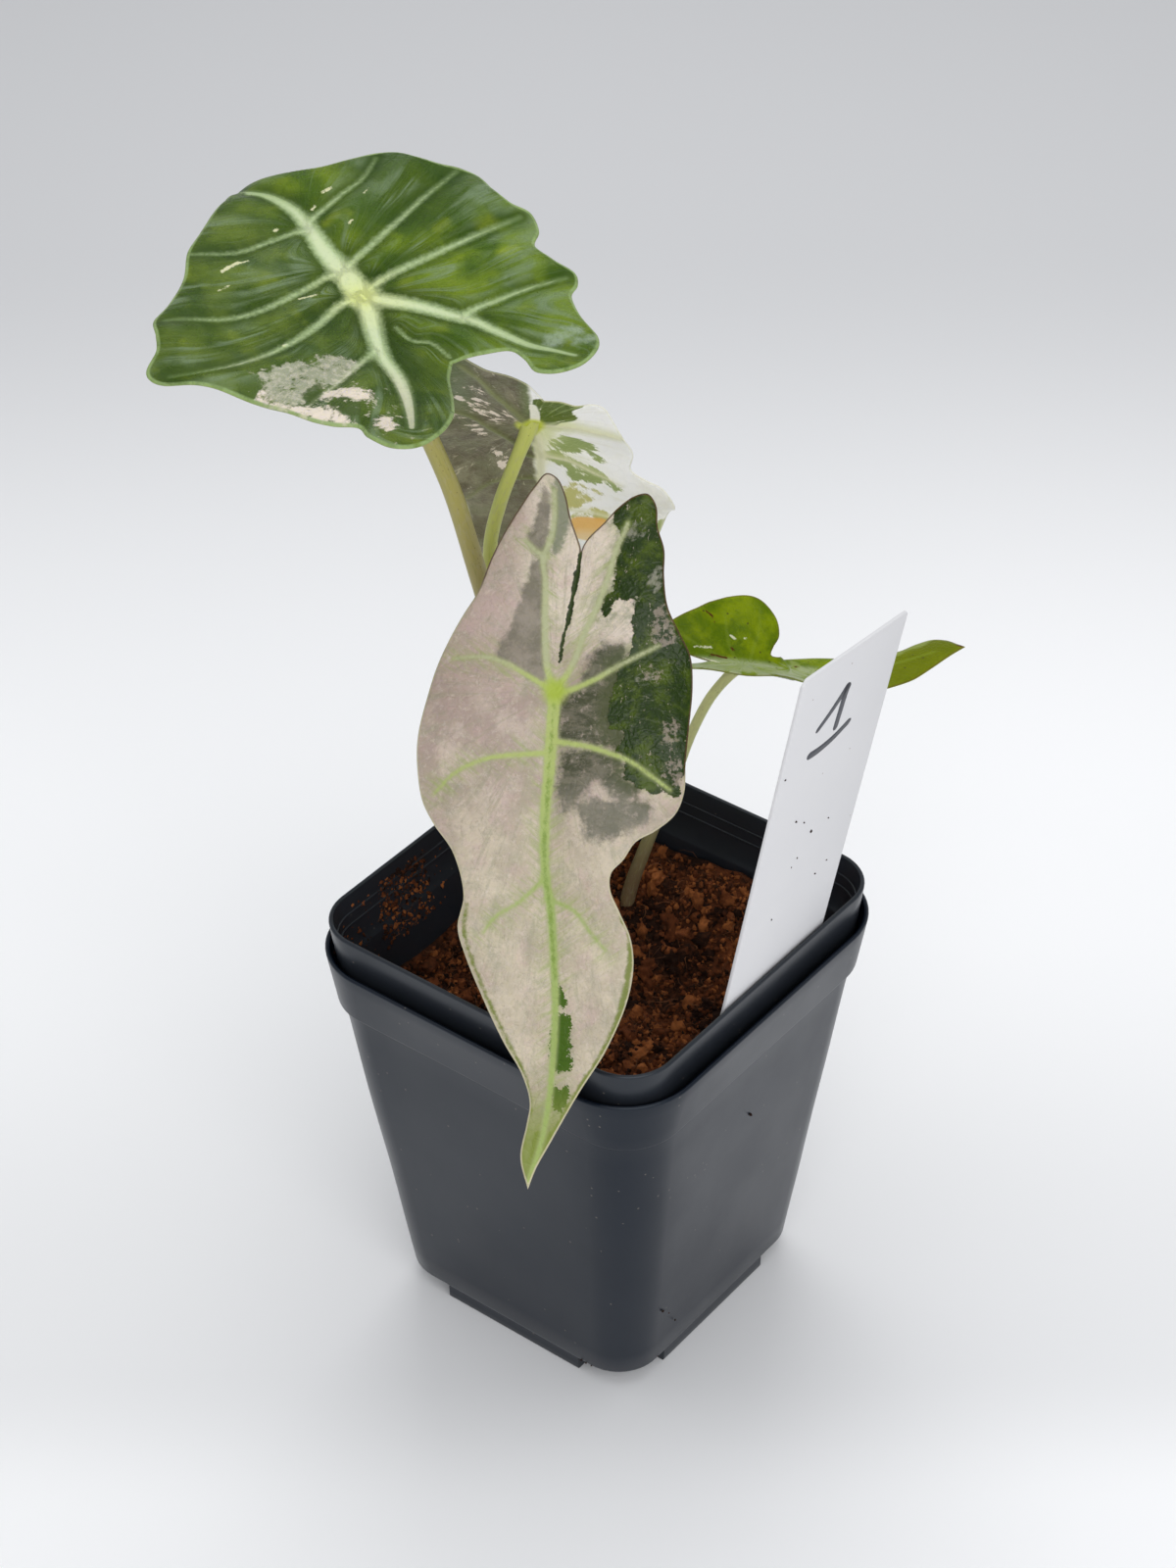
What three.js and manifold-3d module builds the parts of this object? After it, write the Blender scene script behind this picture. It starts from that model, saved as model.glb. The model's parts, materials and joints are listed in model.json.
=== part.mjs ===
// A young variegated alocasia in a square nursery pot, which stands in a second pot of the same shape.
// Millimetres, +Z up. The origin is the middle of the outer pot's foot, on the surface it stands on.
// The pots' sides lie along X and Y. Four leaves rise from one crown; a plant label leans on the rim.

import * as THREE from 'three';
import Module from 'manifold-3d';
import { mergeVertices } from 'three/addons/utils/BufferGeometryUtils.js';

const wasm = await Module();
wasm.setup();

// Driving dimensions

const GAP = 0.3;               // clearance between touching pieces
const POT_WALL = 1.1;
const POT_FLOOR = 1.2;
const FOOT_HEIGHT = 5;         // the corners of a pot stand this far above its foot
const COLLAR_HEIGHT = 14.5;    // the wider band under the rim

// One mould shape, at the sizes of the outer and the inner pot
const OUTER_POT = {
  foot: 0, rim: 106, footArm: 20,
  rimHalf: 50, collarHalf: 47.4, wallHalf: 46.3, baseHalf: 35.8, footHalf: 34.8,
  rimCorner: 18, wallCorner: 14, baseCorner: 11,
};
const INNER_POT = {
  foot: POT_FLOOR + GAP, rim: 114, footArm: 18.5,
  rimHalf: 47.4, collarHalf: 46.2, wallHalf: 45.3, baseHalf: 34.1, footHalf: 33.1,
  rimCorner: 12, wallCorner: 12, baseCorner: 10,
};
const CORNER_STEPS = 8;
const WALL_RIBS = [5, 8];      // fine ribs inside the collar, this far under the rim
const RIB_HEIGHT = 0.25;
const DRAIN_SLOT = { width: 5, height: 2.6, place: 25 };

const LABEL = {
  width: 38, topWidth: 39.9, length: 132, thick: 0.8, chamfer: 6,
  above: 88.5,                 // from the pot's rim to the label's top
  rimX: 45.6, rimY: 5.3,      // where its middle line passes the rim
  leanOut: 7.85, leanSide: 5.96,
};

const CROWN = { x: -13.5, y: 19, top: 81, radius: 8.5, depth: 26 };
const ROOTS = { count: 7, reach: 15, drop: 34, thick: 1.3, seed: 11 };
const MIX = { level: 87, grain: 3.3, seed: 5 };
// Heaps and hollows of the potting mix: place, width and height
const HEAPS = [
  { x: 12, y: 41, spread: 15, rise: 12 },
  { x: -14, y: 44, spread: 12, rise: 6 },
  { x: -14, y: 18, spread: 11, rise: 3 },
  { x: 12, y: 12, spread: 12, rise: -4 },
  { x: 32, y: -22, spread: 14, rise: 4 },
  { x: -38, y: -38, spread: 16, rise: -3 },
];

// Leaves: millimetres in the blade. The first number runs across the midrib, with the right side
// positive as seen from the leaf stalk towards the tip on the upper face. The second runs along the
// midrib from the stalk, with the tip positive and the two lobes behind the stalk negative.
// node: where the stalk meets the blade. heading: the way the tip points, in degrees from +X.
// slope: the midrib's climb in degrees at places along it. roll: the blade's turn about the midrib.
// left, right: how far each half rises from the midrib, in degrees. curl: how fast the halves bow.
const LEAVES = [
  {
    name: 'leaf_1', colour: '#3f6b2a', node: [-57.2, -7, 255.3], heading: 165, grain: 4.6,
    slope: [[-60, -8], [0, 15], [38, 8], [50, -45], [80, -80]], roll: [[-60, -3.4], [0, 2], [60, 7.4]],
    left: [[0, 9]], right: [[0, 9]], curl: 0.002, ripple: { height: 1, length: 19, shift: 4, width: 48 },
    rightEdge: [[0, 70], [2, 60], [4, 50], [7, 44], [14, 39], [22, 36.5], [28, 34.5], [31.5, 32], [34, 28],
      [37, 24], [41, 20.5], [43, 17], [42.5, 11], [43.5, 6], [46.5, 2], [45, -3], [40.5, -7.5], [41.5, -13],
      [44, -18], [42, -21.5], [38, -24.5], [35, -31], [34, -39], [30, -44], [23.5, -47], [18, -46],
      [15, -42.5], [16, -37], [15.5, -33], [11, -30.5], [7, -29], [3.5, -28.5]],
    leftEdge: [[3.5, -28.5], [0, -32.5], [-4.5, -40], [-9.5, -47], [-17.5, -53.5], [-25, -56], [-29.5, -53],
      [-30.5, -46.5], [-29, -40.5], [-32.5, -37], [-36, -32.5], [-38.5, -26.5], [-40.5, -20], [-44, -14],
      [-48, -9], [-52.5, -4], [-53.5, 1], [-48.5, 5], [-46.5, 8.5], [-44, 13.5], [-38, 17], [-31, 22],
      [-25, 29.5], [-18.5, 34.5], [-10, 41], [-5, 45], [-3, 52], [-1.5, 61], [0, 70]],
    veins: [[[0, 0], [0, 14], [0, 26], [0, 38], [0, 52], [0, 64]], [[3, 1], [14, 3], [28, 3.5], [41, 3]],
      [[1, 9], [15, 13], [27, 17.5], [37, 20.5]], [[1, 24], [12, 27], [21, 31], [26, 33.5]],
      [[3, -1], [8, -9], [15.5, -18.5], [19, -28.5], [24, -38], [26, -43]],
      [[17, -17], [29, -17.5], [40, -20]],
      [[-2, -3], [-7, -16], [-10, -28], [-14, -38], [-19, -47]], [[-11, -21], [-18, -23], [-27, -27]],
      [[-3, -1], [-14, -4.5], [-30, -8], [-40, -6.5], [-49, -2]], [[-2, 8], [-17, 6.5], [-30, 7], [-40, 12]],
      [[-1, 24], [-12, 24], [-23, 28]]],
  },
  {
    name: 'leaf_2', colour: '#b9ae9f', node: [0.6, -15.6, 181.7], heading: -58, grain: 4.2,
    slope: [[-60, -44], [0, -48], [60, -54], [120, -60]], roll: [[0, 0]],
    left: [[0, 14]], right: [[0, 14]], curl: 0.009, ripple: { height: 1.6, length: 34, shift: 2, width: 30 },
    rightEdge: [[0, 108], [2, 101], [1, 94], [0.5, 89], [2.5, 83], [7, 76], [12, 67], [16.5, 58], [18.5, 52],
      [17.5, 45], [20.5, 36], [25.5, 30], [28.5, 25], [29.8, 18.5], [30, 12], [28.8, 4], [27, -4],
      [24.5, -10], [21.5, -15.5], [18.5, -20.5], [16, -28], [13.5, -34], [10.5, -39.5], [7.5, -44.5],
      [5, -47.5], [2.5, -46.5], [0.5, -43], [-1, -38], [-2.8, -33], [-2.8, -27], [-1.9, -18],
      [-1.2, -12], [-0.9, -8]],
    leftEdge: [[-0.9, -8], [-2.3, -12], [-3.2, -18], [-4.3, -27], [-5, -32.5], [-8.5, -37], [-11.5, -40.5],
      [-15, -43.3], [-18, -44], [-20, -41.5], [-20.6, -37], [-22.4, -32], [-22.8, -26], [-24, -19.5],
      [-27, -14], [-29.5, -9.5], [-30.4, -3], [-30.3, 6], [-30, 14], [-30, 20], [-28.3, 25], [-24, 29],
      [-20, 31.5], [-17.5, 35.5], [-15, 38.5], [-15, 42], [-17.5, 47], [-20, 52], [-21, 58], [-20, 66],
      [-16, 76.5], [-10.5, 86], [-4.5, 97.5], [-1.5, 103.5], [0, 108]],
    veins: [[[0, 0], [0.8, 14], [0.6, 28], [-0.4, 42], [-2.6, 56], [-3.6, 70], [-3.8, 84], [-2, 97]],
      [[2.5, -3], [2.6, -14], [3.8, -27], [3, -39]], [[-4, -5], [-8, -17.5], [-10.5, -27], [-13, -36]],
      [[3, -1], [12, -5], [23, -5.5]], [[-3, -1], [-12.5, -5], [-22, -7]], [[2, 13.5], [15, 16], [26, 24]],
      [[-1, 12], [-14, 13], [-26, 20]], [[0.5, 41], [6, 47], [13, 54]], [[-1.5, 44], [-9, 50], [-17, 58]]],
  },
  {
    name: 'leaf_3', colour: '#8b8f80', node: [-37.6, 24.9, 214.8], heading: 126, grain: 4.4,
    slope: [[-50, -48], [0, -58], [60, -70], [110, -78]], roll: [[0, 0]],
    left: [[0, 8]], right: [[0, 8]], curl: 0.006, ripple: { height: 1.8, length: 26, shift: 9, width: 28 },
    rightEdge: [[0, 98], [4, 91], [10, 82], [17, 71], [23, 61], [27, 52], [30, 44], [32, 36], [32.5, 29],
      [30, 24.8], [25.5, 23.2], [22.5, 21], [23, 16], [22, 9.5], [20.5, 3], [18.5, -3], [16.5, -7.5],
      [14, -9], [10.5, -8.5], [7, -11], [3.5, -12]],
    leftEdge: [[3.5, -12], [2, -16.5], [0, -21.5], [-3.6, -25.5], [-8, -28], [-11, -31.5], [-14, -35.5],
      [-16.5, -36.5], [-18.5, -34], [-20.5, -28], [-22.5, -20], [-25, -12], [-26.5, -4], [-27, 3],
      [-25, 11], [-22, 19], [-18.5, 28], [-16.5, 38], [-15.5, 48], [-13.5, 59], [-11, 71], [-7, 83],
      [-3, 92], [0, 98]],
    veins: [[[0, 0], [1.2, 12], [1.5, 26], [1, 42], [0.5, 58], [0, 74], [0, 88]],
      [[-1.5, -2], [-6, -12], [-11, -22], [-15, -31]], [[-2, 6], [-10, 4], [-20, -2]],
      [[-1, 22], [-9, 26], [-15, 33]], [[3, 13], [9, 18], [20, 26]], [[2, 36], [12, 40], [24, 46]],
      [[2, -2], [8, -4], [14, -4]]],
  },
  {
    name: 'leaf_4', colour: '#7fa02c', node: [10.8, 40, 161.8], heading: 50, grain: 3.2,
    slope: [[-20, -10], [8, -18], [22, -10], [35, 6], [55, 10]], roll: [[0, 0]],
    left: [[-20, 44], [9.5, 48], [11.5, -4], [60, -14]],
    right: [[-20, 28], [10, 28], [24, 20], [40, -8], [60, -10]],
    curl: 0, ripple: { height: 0.5, length: 17, shift: 0, width: 14 },
    rightEdge: [[0, 54], [1.6, 50], [4, 45], [6.8, 39], [8.6, 33], [10.6, 27], [12.4, 20], [14, 13],
      [14.5, 6], [14, 0], [12.5, -6], [11, -12], [9, -17.5], [6, -19.5], [3.5, -16.5], [1.8, -11.5], [0, -8]],
    leftEdge: [[0, -8], [-2, -12.5], [-4, -17], [-6.5, -19.5], [-9, -18.5], [-11.2, -15], [-13.5, -10.5],
      [-15.8, -7], [-17.5, -3], [-17.3, 1.5], [-15.5, 5.5], [-12.5, 8.5], [-9, 9.2], [-6, 7.8], [-4, 7.4],
      [-4, 10.5], [-5, 14], [-6, 20], [-6, 27], [-5.4, 34], [-5, 39.5], [-6.8, 44.5], [-7.2, 48],
      [-4.8, 51], [-2, 52.6], [0, 54]],
    veins: [[[0, 0], [0, 12], [0, 24], [0, 36], [0, 47]], [[-1, -1], [-6, -3], [-12, -4]],
      [[-1, -3], [-4, -9], [-7.5, -14]], [[1, -2], [4, -9], [7, -14.5]], [[1, 3], [7, 5], [12, 8]]],
  },
];
const BLADE = { thick: 0.8, rib: 0.8, ribLeast: 0.15, ribFade: 75, edgeStep: 2.8, jitter: 0.1 };

// Leaf stalks, each from the crown up to its leaf's node, with their radii at the two ends
const STALKS = [
  {
    name: 'petiole_1', leaf: 0, colour: '#b9a883', foot: 2.6, tip: 2.1,
    route: [[-18, 14.6, 82], [-20, 14.4, 94], [-26.4, 13.4, 125], [-33.6, 10.9, 155], [-39.4, 7.9, 182],
      [-43.8, 4.8, 204.7], [-48, 1.4, 221], [-52.6, -2.8, 239], [-57.1, -6.8, 254.6]],
  },
  {
    name: 'petiole_2', leaf: 1, colour: '#a9ad78', foot: 2.4, tip: 1.8,
    route: [[-9.6, 15.4, 82], [-10, 12.5, 100], [-10.6, 6, 128], [-9.6, -2.5, 153], [-5.6, -10, 171],
      [-0.6, -14.6, 180.5]],
  },
  {
    name: 'petiole_3', leaf: 2, colour: '#b4b878', foot: 2.3, tip: 1.6,
    route: [[-17, 22.6, 82], [-20, 22.3, 94], [-27.5, 21.4, 110], [-36.2, 18.6, 134], [-41.6, 15.6, 163],
      [-43.2, 16.6, 184.8], [-41.8, 18.9, 196], [-39.6, 22, 206], [-37.9, 24.5, 213.4]],
  },
  {
    name: 'petiole_4', leaf: 3, colour: '#a7b36b', foot: 1.9, tip: 1.2,
    route: [[-10.4, 22.6, 82], [-9.9, 24.7, 94], [-6.7, 27.4, 109], [-1.7, 31.3, 128.5], [1.4, 33.6, 141.5],
      [4.9, 36.1, 152], [8.4, 38.4, 158.4], [10.4, 39.8, 161.2]],
  },
];
const STALK_SIDES = 10;
const STALK_STEP = 7;
const STALK_CUT = 5;           // above its blade, a stalk is cut away this far

// Helpers

const radians = THREE.MathUtils.degToRad;

// A repeatable random number from 0 to 1 for a lattice point
function scatter(i, j, seed) {
  const wave = Math.sin(i * 127.1 + j * 311.7 + seed * 74.7) * 43758.5453;
  return wave - Math.floor(wave);
}

// Smooth noise from -1 to 1 with lumps of the given size
function lumps(x, y, size, seed) {
  const [px, py] = [x / size, y / size];
  const [i, j] = [Math.floor(px), Math.floor(py)];
  const [s, t] = [px - i, py - j].map((f) => f * f * (3 - 2 * f));
  const near = THREE.MathUtils.lerp(scatter(i, j, seed), scatter(i + 1, j, seed), s);
  const far = THREE.MathUtils.lerp(scatter(i, j + 1, seed), scatter(i + 1, j + 1, seed), s);
  return 2 * THREE.MathUtils.lerp(near, far, t) - 1;
}

// The value at a place between knots given as [place, value]
function between(knots, place) {
  if (place <= knots[0][0]) return knots[0][1];
  for (let k = 1; k < knots.length; k++) {
    const [start, end] = [knots[k - 1], knots[k]];
    if (place <= end[0]) {
      return start[1] + (end[1] - start[1]) * (place - start[0]) / (end[0] - start[0]);
    }
  }
  return knots.at(-1)[1];
}

function toSolid(vertices, triangles) {
  return new wasm.Manifold(new wasm.Mesh({
    numProp: 3,
    vertProperties: new Float32Array(vertices.flat()),
    triVerts: new Uint32Array(triangles.flat()),
  }));
}

function geometryToSolid(geometry) {
  geometry.deleteAttribute('normal');
  geometry.deleteAttribute('uv');
  const merged = mergeVertices(geometry, 1e-4);
  return new wasm.Manifold(new wasm.Mesh({
    numProp: 3,
    vertProperties: new Float32Array(merged.attributes.position.array),
    triVerts: new Uint32Array(merged.index.array),
  }));
}

function box(x, y, z, width, depth, height) {
  return geometryToSolid(new THREE.BoxGeometry(width, depth, height).translate(x, y, z));
}

// The largest connected piece of a solid
function largest(solid) {
  return solid.decompose().sort((a, b) => b.volume() - a.volume())[0];
}

function toMesh(name, solid, material) {
  const { vertProperties, triVerts } = solid.getMesh();
  const geometry = new THREE.BufferGeometry();
  geometry.setAttribute('position', new THREE.BufferAttribute(vertProperties, 3));
  geometry.setIndex(new THREE.BufferAttribute(triVerts, 1));
  geometry.computeVertexNormals();
  const mesh = new THREE.Mesh(geometry, material);
  mesh.name = name;
  return mesh;
}

function finish(color, roughness) {
  return new THREE.MeshStandardMaterial({ color, roughness, metalness: 0 });
}

// A closed solid through level rings of equally many points, from the bottom up
function loft(rings) {
  const count = rings[0].length;
  const middle = (ring) => [0, 0, ring[0][2]];
  const vertices = [...rings.flat(), middle(rings[0]), middle(rings.at(-1))];
  const last = count * (rings.length - 1);
  const triangles = [];
  for (let k = 0; k < count; k++) {
    const next = (k + 1) % count;
    for (let level = 0; level < last; level += count) {
      triangles.push([level + k, level + next, level + count + next]);
      triangles.push([level + k, level + count + next, level + count + k]);
    }
    triangles.push([vertices.length - 2, next, k]);
    triangles.push([vertices.length - 1, last + k, last + next]);
  }
  return toSolid(vertices, triangles);
}

function smoothCurve(points) {
  return new THREE.CatmullRomCurve3(points.map((p) => new THREE.Vector3(...p)), false, 'centripetal');
}

// A tube along a curve, with a radius that follows radiusAt(0..1)
function tube(curve, radiusAt, sides, steps) {
  const frames = curve.computeFrenetFrames(steps, false);
  const vertices = [];
  for (let step = 0; step <= steps; step++) {
    const centre = curve.getPointAt(step / steps);
    for (let side = 0; side < sides; side++) {
      const angle = 2 * Math.PI * side / sides;
      const rim = frames.normals[step].clone().multiplyScalar(Math.cos(angle));
      rim.addScaledVector(frames.binormals[step], Math.sin(angle));
      vertices.push(centre.clone().addScaledVector(rim, radiusAt(step / steps)).toArray());
    }
  }
  vertices.push(curve.getPointAt(0).toArray(), curve.getPointAt(1).toArray());
  const triangles = [];
  for (let side = 0; side < sides; side++) {
    const next = (side + 1) % sides;
    for (let ring = 0; ring < steps * sides; ring += sides) {
      triangles.push([ring + side, ring + next, ring + sides + next]);
      triangles.push([ring + side, ring + sides + next, ring + sides + side]);
    }
    triangles.push([vertices.length - 2, next, side]);
    triangles.push([vertices.length - 1, steps * sides + side, steps * sides + next]);
  }
  return toSolid(vertices, triangles);
}

// Triangulation of an outline with points inside it

function turn(a, b, c) {
  return (b[0] - a[0]) * (c[1] - a[1]) - (b[1] - a[1]) * (c[0] - a[0]);
}

function insideCircle(a, b, c, d) {
  const rows = [a, b, c].map((p) => [p[0] - d[0], p[1] - d[1]]);
  const [ra, rb, rc] = rows.map(([x, y]) => [x, y, x * x + y * y]);
  return ra[0] * (rb[1] * rc[2] - rb[2] * rc[1])
    - ra[1] * (rb[0] * rc[2] - rb[2] * rc[0])
    + ra[2] * (rb[0] * rc[1] - rb[1] * rc[0]) > 1e-6;
}

// One round of edge swaps towards even triangles. The outline's own edges have no twin and stay.
function swapEdges(points, faces) {
  const owner = new Map();
  faces.forEach((face, f) => face.forEach((p, k) => owner.set(`${p},${face[(k + 1) % 3]}`, f)));
  const used = new Set();
  faces.forEach((face, f) => {
    for (let k = 0; k < 3 && !used.has(f); k++) {
      const [a, b, c] = [face[k], face[(k + 1) % 3], face[(k + 2) % 3]];
      const twin = owner.get(`${b},${a}`);
      if (twin === undefined || used.has(twin)) continue;
      const d = faces[twin].find((p) => p !== a && p !== b);
      if (!insideCircle(points[a], points[b], points[c], points[d])) continue;
      faces[f] = [a, d, c];
      faces[twin] = [d, b, c];
      used.add(f).add(twin);
    }
  });
  return used.size > 0;
}

function triangulate(outline, inner) {
  const points = [...outline, ...inner];
  const corners = outline.map(([x, y]) => new THREE.Vector2(x, y));
  const faces = THREE.ShapeUtils.triangulateShape(corners, []);
  faces.forEach((face) => {
    if (turn(...face.map((p) => points[p])) < 0) face.reverse();
  });
  for (let p = outline.length; p < points.length; p++) {
    const home = faces.findIndex(([a, b, c]) => turn(points[a], points[b], points[p]) >= 0
      && turn(points[b], points[c], points[p]) >= 0 && turn(points[c], points[a], points[p]) >= 0);
    const [a, b, c] = faces[home];
    faces[home] = [a, b, p];
    faces.push([b, c, p], [c, a, p]);
  }
  while (swapEdges(points, faces));
  return { points, faces };
}

// A solid between two faces that share one triangulation, so that they can't cross
function sheet({ points, faces }, outlineCount, upper, lower) {
  const count = points.length;
  const vertices = [...points.map(upper), ...points.map(lower)];
  const triangles = faces.flatMap(([a, b, c]) => [[a, b, c], [count + c, count + b, count + a]]);
  for (let k = 0; k < outlineCount; k++) {
    const next = (k + 1) % outlineCount;
    triangles.push([k, count + k, count + next], [k, count + next, next]);
  }
  return toSolid(vertices, triangles);
}

function distanceTo(points, [x, y]) {
  return Math.min(...points.map((p) => Math.hypot(p[0] - x, p[1] - y)));
}

function contains(outline, [x, y]) {
  let inside = false;
  outline.forEach(([ax, ay], k) => {
    const [bx, by] = outline[(k + 1) % outline.length];
    if ((ay > y) !== (by > y) && x < ax + (bx - ax) * (y - ay) / (by - ay)) inside = !inside;
  });
  return inside;
}

// Pots

function squareRing(half, corner, z) {
  const ring = [];
  for (let quarter = 0; quarter < 4; quarter++) {
    for (let step = 0; step <= CORNER_STEPS; step++) {
      const angle = Math.PI / 2 * (quarter + step / CORNER_STEPS);
      const [sx, sy] = [[1, 1], [-1, 1], [-1, -1], [1, -1]][quarter];
      ring.push([
        sx * (half - corner) + corner * Math.cos(angle),
        sy * (half - corner) + corner * Math.sin(angle),
        z,
      ]);
    }
  }
  return ring;
}

// The pot's outer form as a full block
function potBlock(pot) {
  const base = pot.foot + FOOT_HEIGHT;
  const collar = pot.rim - COLLAR_HEIGHT;
  const block = loft([
    squareRing(pot.footHalf - 0.3, pot.baseCorner, pot.foot),
    squareRing(pot.footHalf, pot.baseCorner, base - 0.4),
    squareRing(pot.baseHalf, pot.baseCorner, base),
    squareRing(pot.wallHalf, pot.wallCorner, collar - 1),
    squareRing(pot.collarHalf, pot.wallCorner, collar + 0.2),
    squareRing(pot.rimHalf, pot.rimCorner, pot.rim - 0.6),
    squareRing(pot.rimHalf - 0.3, pot.rimCorner - 0.3, pot.rim),
  ]);
  return block.subtract(cornerBlocks(pot, pot.footArm, pot.foot - 1, base));
}

// What fills a pot, less a margin all round. With no margin it is the pot's own hollow.
function potFilling(pot, margin) {
  const base = pot.foot + FOOT_HEIGHT;
  const collar = pot.rim - COLLAR_HEIGHT;
  const inset = POT_WALL + margin;
  const collarRing = (drop, ledge, z) => {
    const share = drop / COLLAR_HEIGHT;
    const half = THREE.MathUtils.lerp(pot.rimHalf, pot.collarHalf, share);
    const corner = THREE.MathUtils.lerp(pot.rimCorner, pot.wallCorner, share);
    return squareRing(half - inset - ledge, corner - inset, z);
  };
  const ribRings = WALL_RIBS.flatMap((drop) => [
    collarRing(drop, 0, pot.rim - drop - 0.5),
    collarRing(drop, RIB_HEIGHT, pot.rim - drop),
    collarRing(drop, 0, pot.rim - drop + 0.5),
  ]);
  ribRings.sort((a, b) => a[0][2] - b[0][2]);
  const filling = loft([
    squareRing(pot.footHalf - inset, pot.baseCorner - inset, pot.foot + POT_FLOOR + margin),
    squareRing(pot.baseHalf - inset, pot.baseCorner - inset, base + POT_FLOOR),
    squareRing(pot.wallHalf - inset, pot.wallCorner - inset, collar - 1),
    squareRing(pot.collarHalf - inset, pot.wallCorner - inset, collar + 1),
    ...ribRings,
    squareRing(pot.rimHalf - inset, pot.rimCorner - inset, pot.rim + 1),
  ]);
  return filling.subtract(cornerBlocks(pot, pot.footArm - inset, pot.foot - 1, base + POT_FLOOR + margin));
}

// Four blocks outside the cross of the foot
function cornerBlocks(pot, arm, bottom, top) {
  const size = pot.rimHalf;
  const height = top - bottom;
  const blocks = [[1, 1], [-1, 1], [-1, -1], [1, -1]].map(([sx, sy]) =>
    box(sx * (arm + size / 2), sy * (arm + size / 2), bottom + height / 2, size, size, height));
  return blocks.reduce((all, block) => all.add(block));
}

// Slots low in the corner steps, through which water drains
function drainSlots(pot) {
  const { width, height, place } = DRAIN_SLOT;
  const z = pot.foot + POT_FLOOR + height / 2;
  const across = pot.footArm - POT_WALL / 2;
  const slots = [[1, 1], [-1, 1], [-1, -1], [1, -1]].flatMap(([sx, sy]) => [
    box(sx * across, sy * place, z, 3 * POT_WALL, width, height),
    box(sx * place, sy * across, z, width, 3 * POT_WALL, height),
  ]);
  return slots.reduce((all, slot) => all.add(slot));
}

function potSolid(pot) {
  return potBlock(pot).subtract(potFilling(pot, 0)).subtract(drainSlots(pot));
}

// Label

function labelSolid(margin) {
  const half = LABEL.width / 2 + margin;
  const topHalf = LABEL.topWidth / 2 + margin;
  const bottom = LABEL.above - LABEL.length - margin;
  const top = LABEL.above + margin;
  const cut = LABEL.chamfer;
  const shape = new THREE.Shape([
    [-half + cut, bottom], [half - cut, bottom], [half, bottom + cut], [half, 0], [topHalf, top - 0.6],
    [topHalf - 0.6, top], [-topHalf + 1.4, top], [-topHalf, top - 1.4], [-half, 0], [-half, bottom + cut],
  ].map(([y, z]) => new THREE.Vector2(y, z)));
  const depth = LABEL.thick + 2 * margin;
  const plate = new THREE.ExtrudeGeometry(shape, { depth, bevelEnabled: false });
  plate.translate(0, 0, -depth / 2);
  // The shape's own axes become width along +Y, height along +Z and thickness along +X
  plate.applyMatrix4(new THREE.Matrix4().makeBasis(
    new THREE.Vector3(0, 1, 0), new THREE.Vector3(0, 0, 1), new THREE.Vector3(1, 0, 0)));
  plate.rotateX(-radians(LABEL.leanSide));
  plate.rotateY(radians(LABEL.leanOut));
  plate.translate(LABEL.rimX, LABEL.rimY, INNER_POT.rim);
  return geometryToSolid(plate);
}

// Leaves

// The midrib's place and slope every half millimetre, from the lobes to the tip
function midrib(leaf) {
  const step = 0.5;
  const stations = [];
  for (const way of [-1, 1]) {
    let [along, up] = [0, 0];
    for (let v = 0; Math.abs(v) <= 120; v += way * step) {
      const slope = radians(between(leaf.slope, v));
      stations.push({ v, along, up, slope });
      const next = radians(between(leaf.slope, v + way * step));
      along += way * step * (Math.cos(slope) + Math.cos(next)) / 2;
      up += way * step * (Math.sin(slope) + Math.sin(next)) / 2;
    }
  }
  return stations.sort((a, b) => a.v - b.v);
}

// The middle surface of a blade, as a function of the place across and along it
function bladeSurface(leaf) {
  const stations = midrib(leaf);
  const table = (key) => stations.map((s) => [s.v, s[key]]);
  const [alongs, ups, slopes] = ['along', 'up', 'slope'].map(table);
  const forward = new THREE.Vector3(Math.cos(radians(leaf.heading)), Math.sin(radians(leaf.heading)), 0);
  const skyward = new THREE.Vector3(0, 0, 1);
  const level = forward.clone().cross(skyward);
  return (u, v) => {
    const slope = between(slopes, v);
    const roll = radians(between(leaf.roll, v));
    const rise = radians(between(u < 0 ? leaf.left : leaf.right, v));
    const normal = forward.clone().multiplyScalar(-Math.sin(slope)).addScaledVector(skyward, Math.cos(slope));
    const across = level.clone().multiplyScalar(Math.cos(roll)).addScaledVector(normal, Math.sin(roll));
    const upward = level.clone().multiplyScalar(-Math.sin(roll)).addScaledVector(normal, Math.cos(roll));
    const outward = Math.hypot(u, 3) - 3;
    const { height, length, shift, width } = leaf.ripple;
    const wave = height * (u / width) ** 2 * Math.sin(2 * Math.PI * (v - shift) / length);
    return new THREE.Vector3(...leaf.node)
      .addScaledVector(forward, between(alongs, v))
      .addScaledVector(skyward, between(ups, v))
      .addScaledVector(across, u * Math.cos(rise))
      .addScaledVector(upward, outward * Math.sin(rise) - leaf.curl * u * u + wave);
  };
}

function surfaceNormal(surface, u, v) {
  const step = 0.5;
  const across = surface(u + step, v).sub(surface(u - step, v));
  const along = surface(u, v + step).sub(surface(u, v - step));
  return across.cross(along).normalize();
}

function spaced(points, step) {
  const curve = smoothCurve(points.map(([u, v]) => [u, v, 0]));
  const count = Math.round(curve.getLength() / step);
  return curve.getSpacedPoints(count).map((p) => [p.x, p.y]);
}

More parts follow.
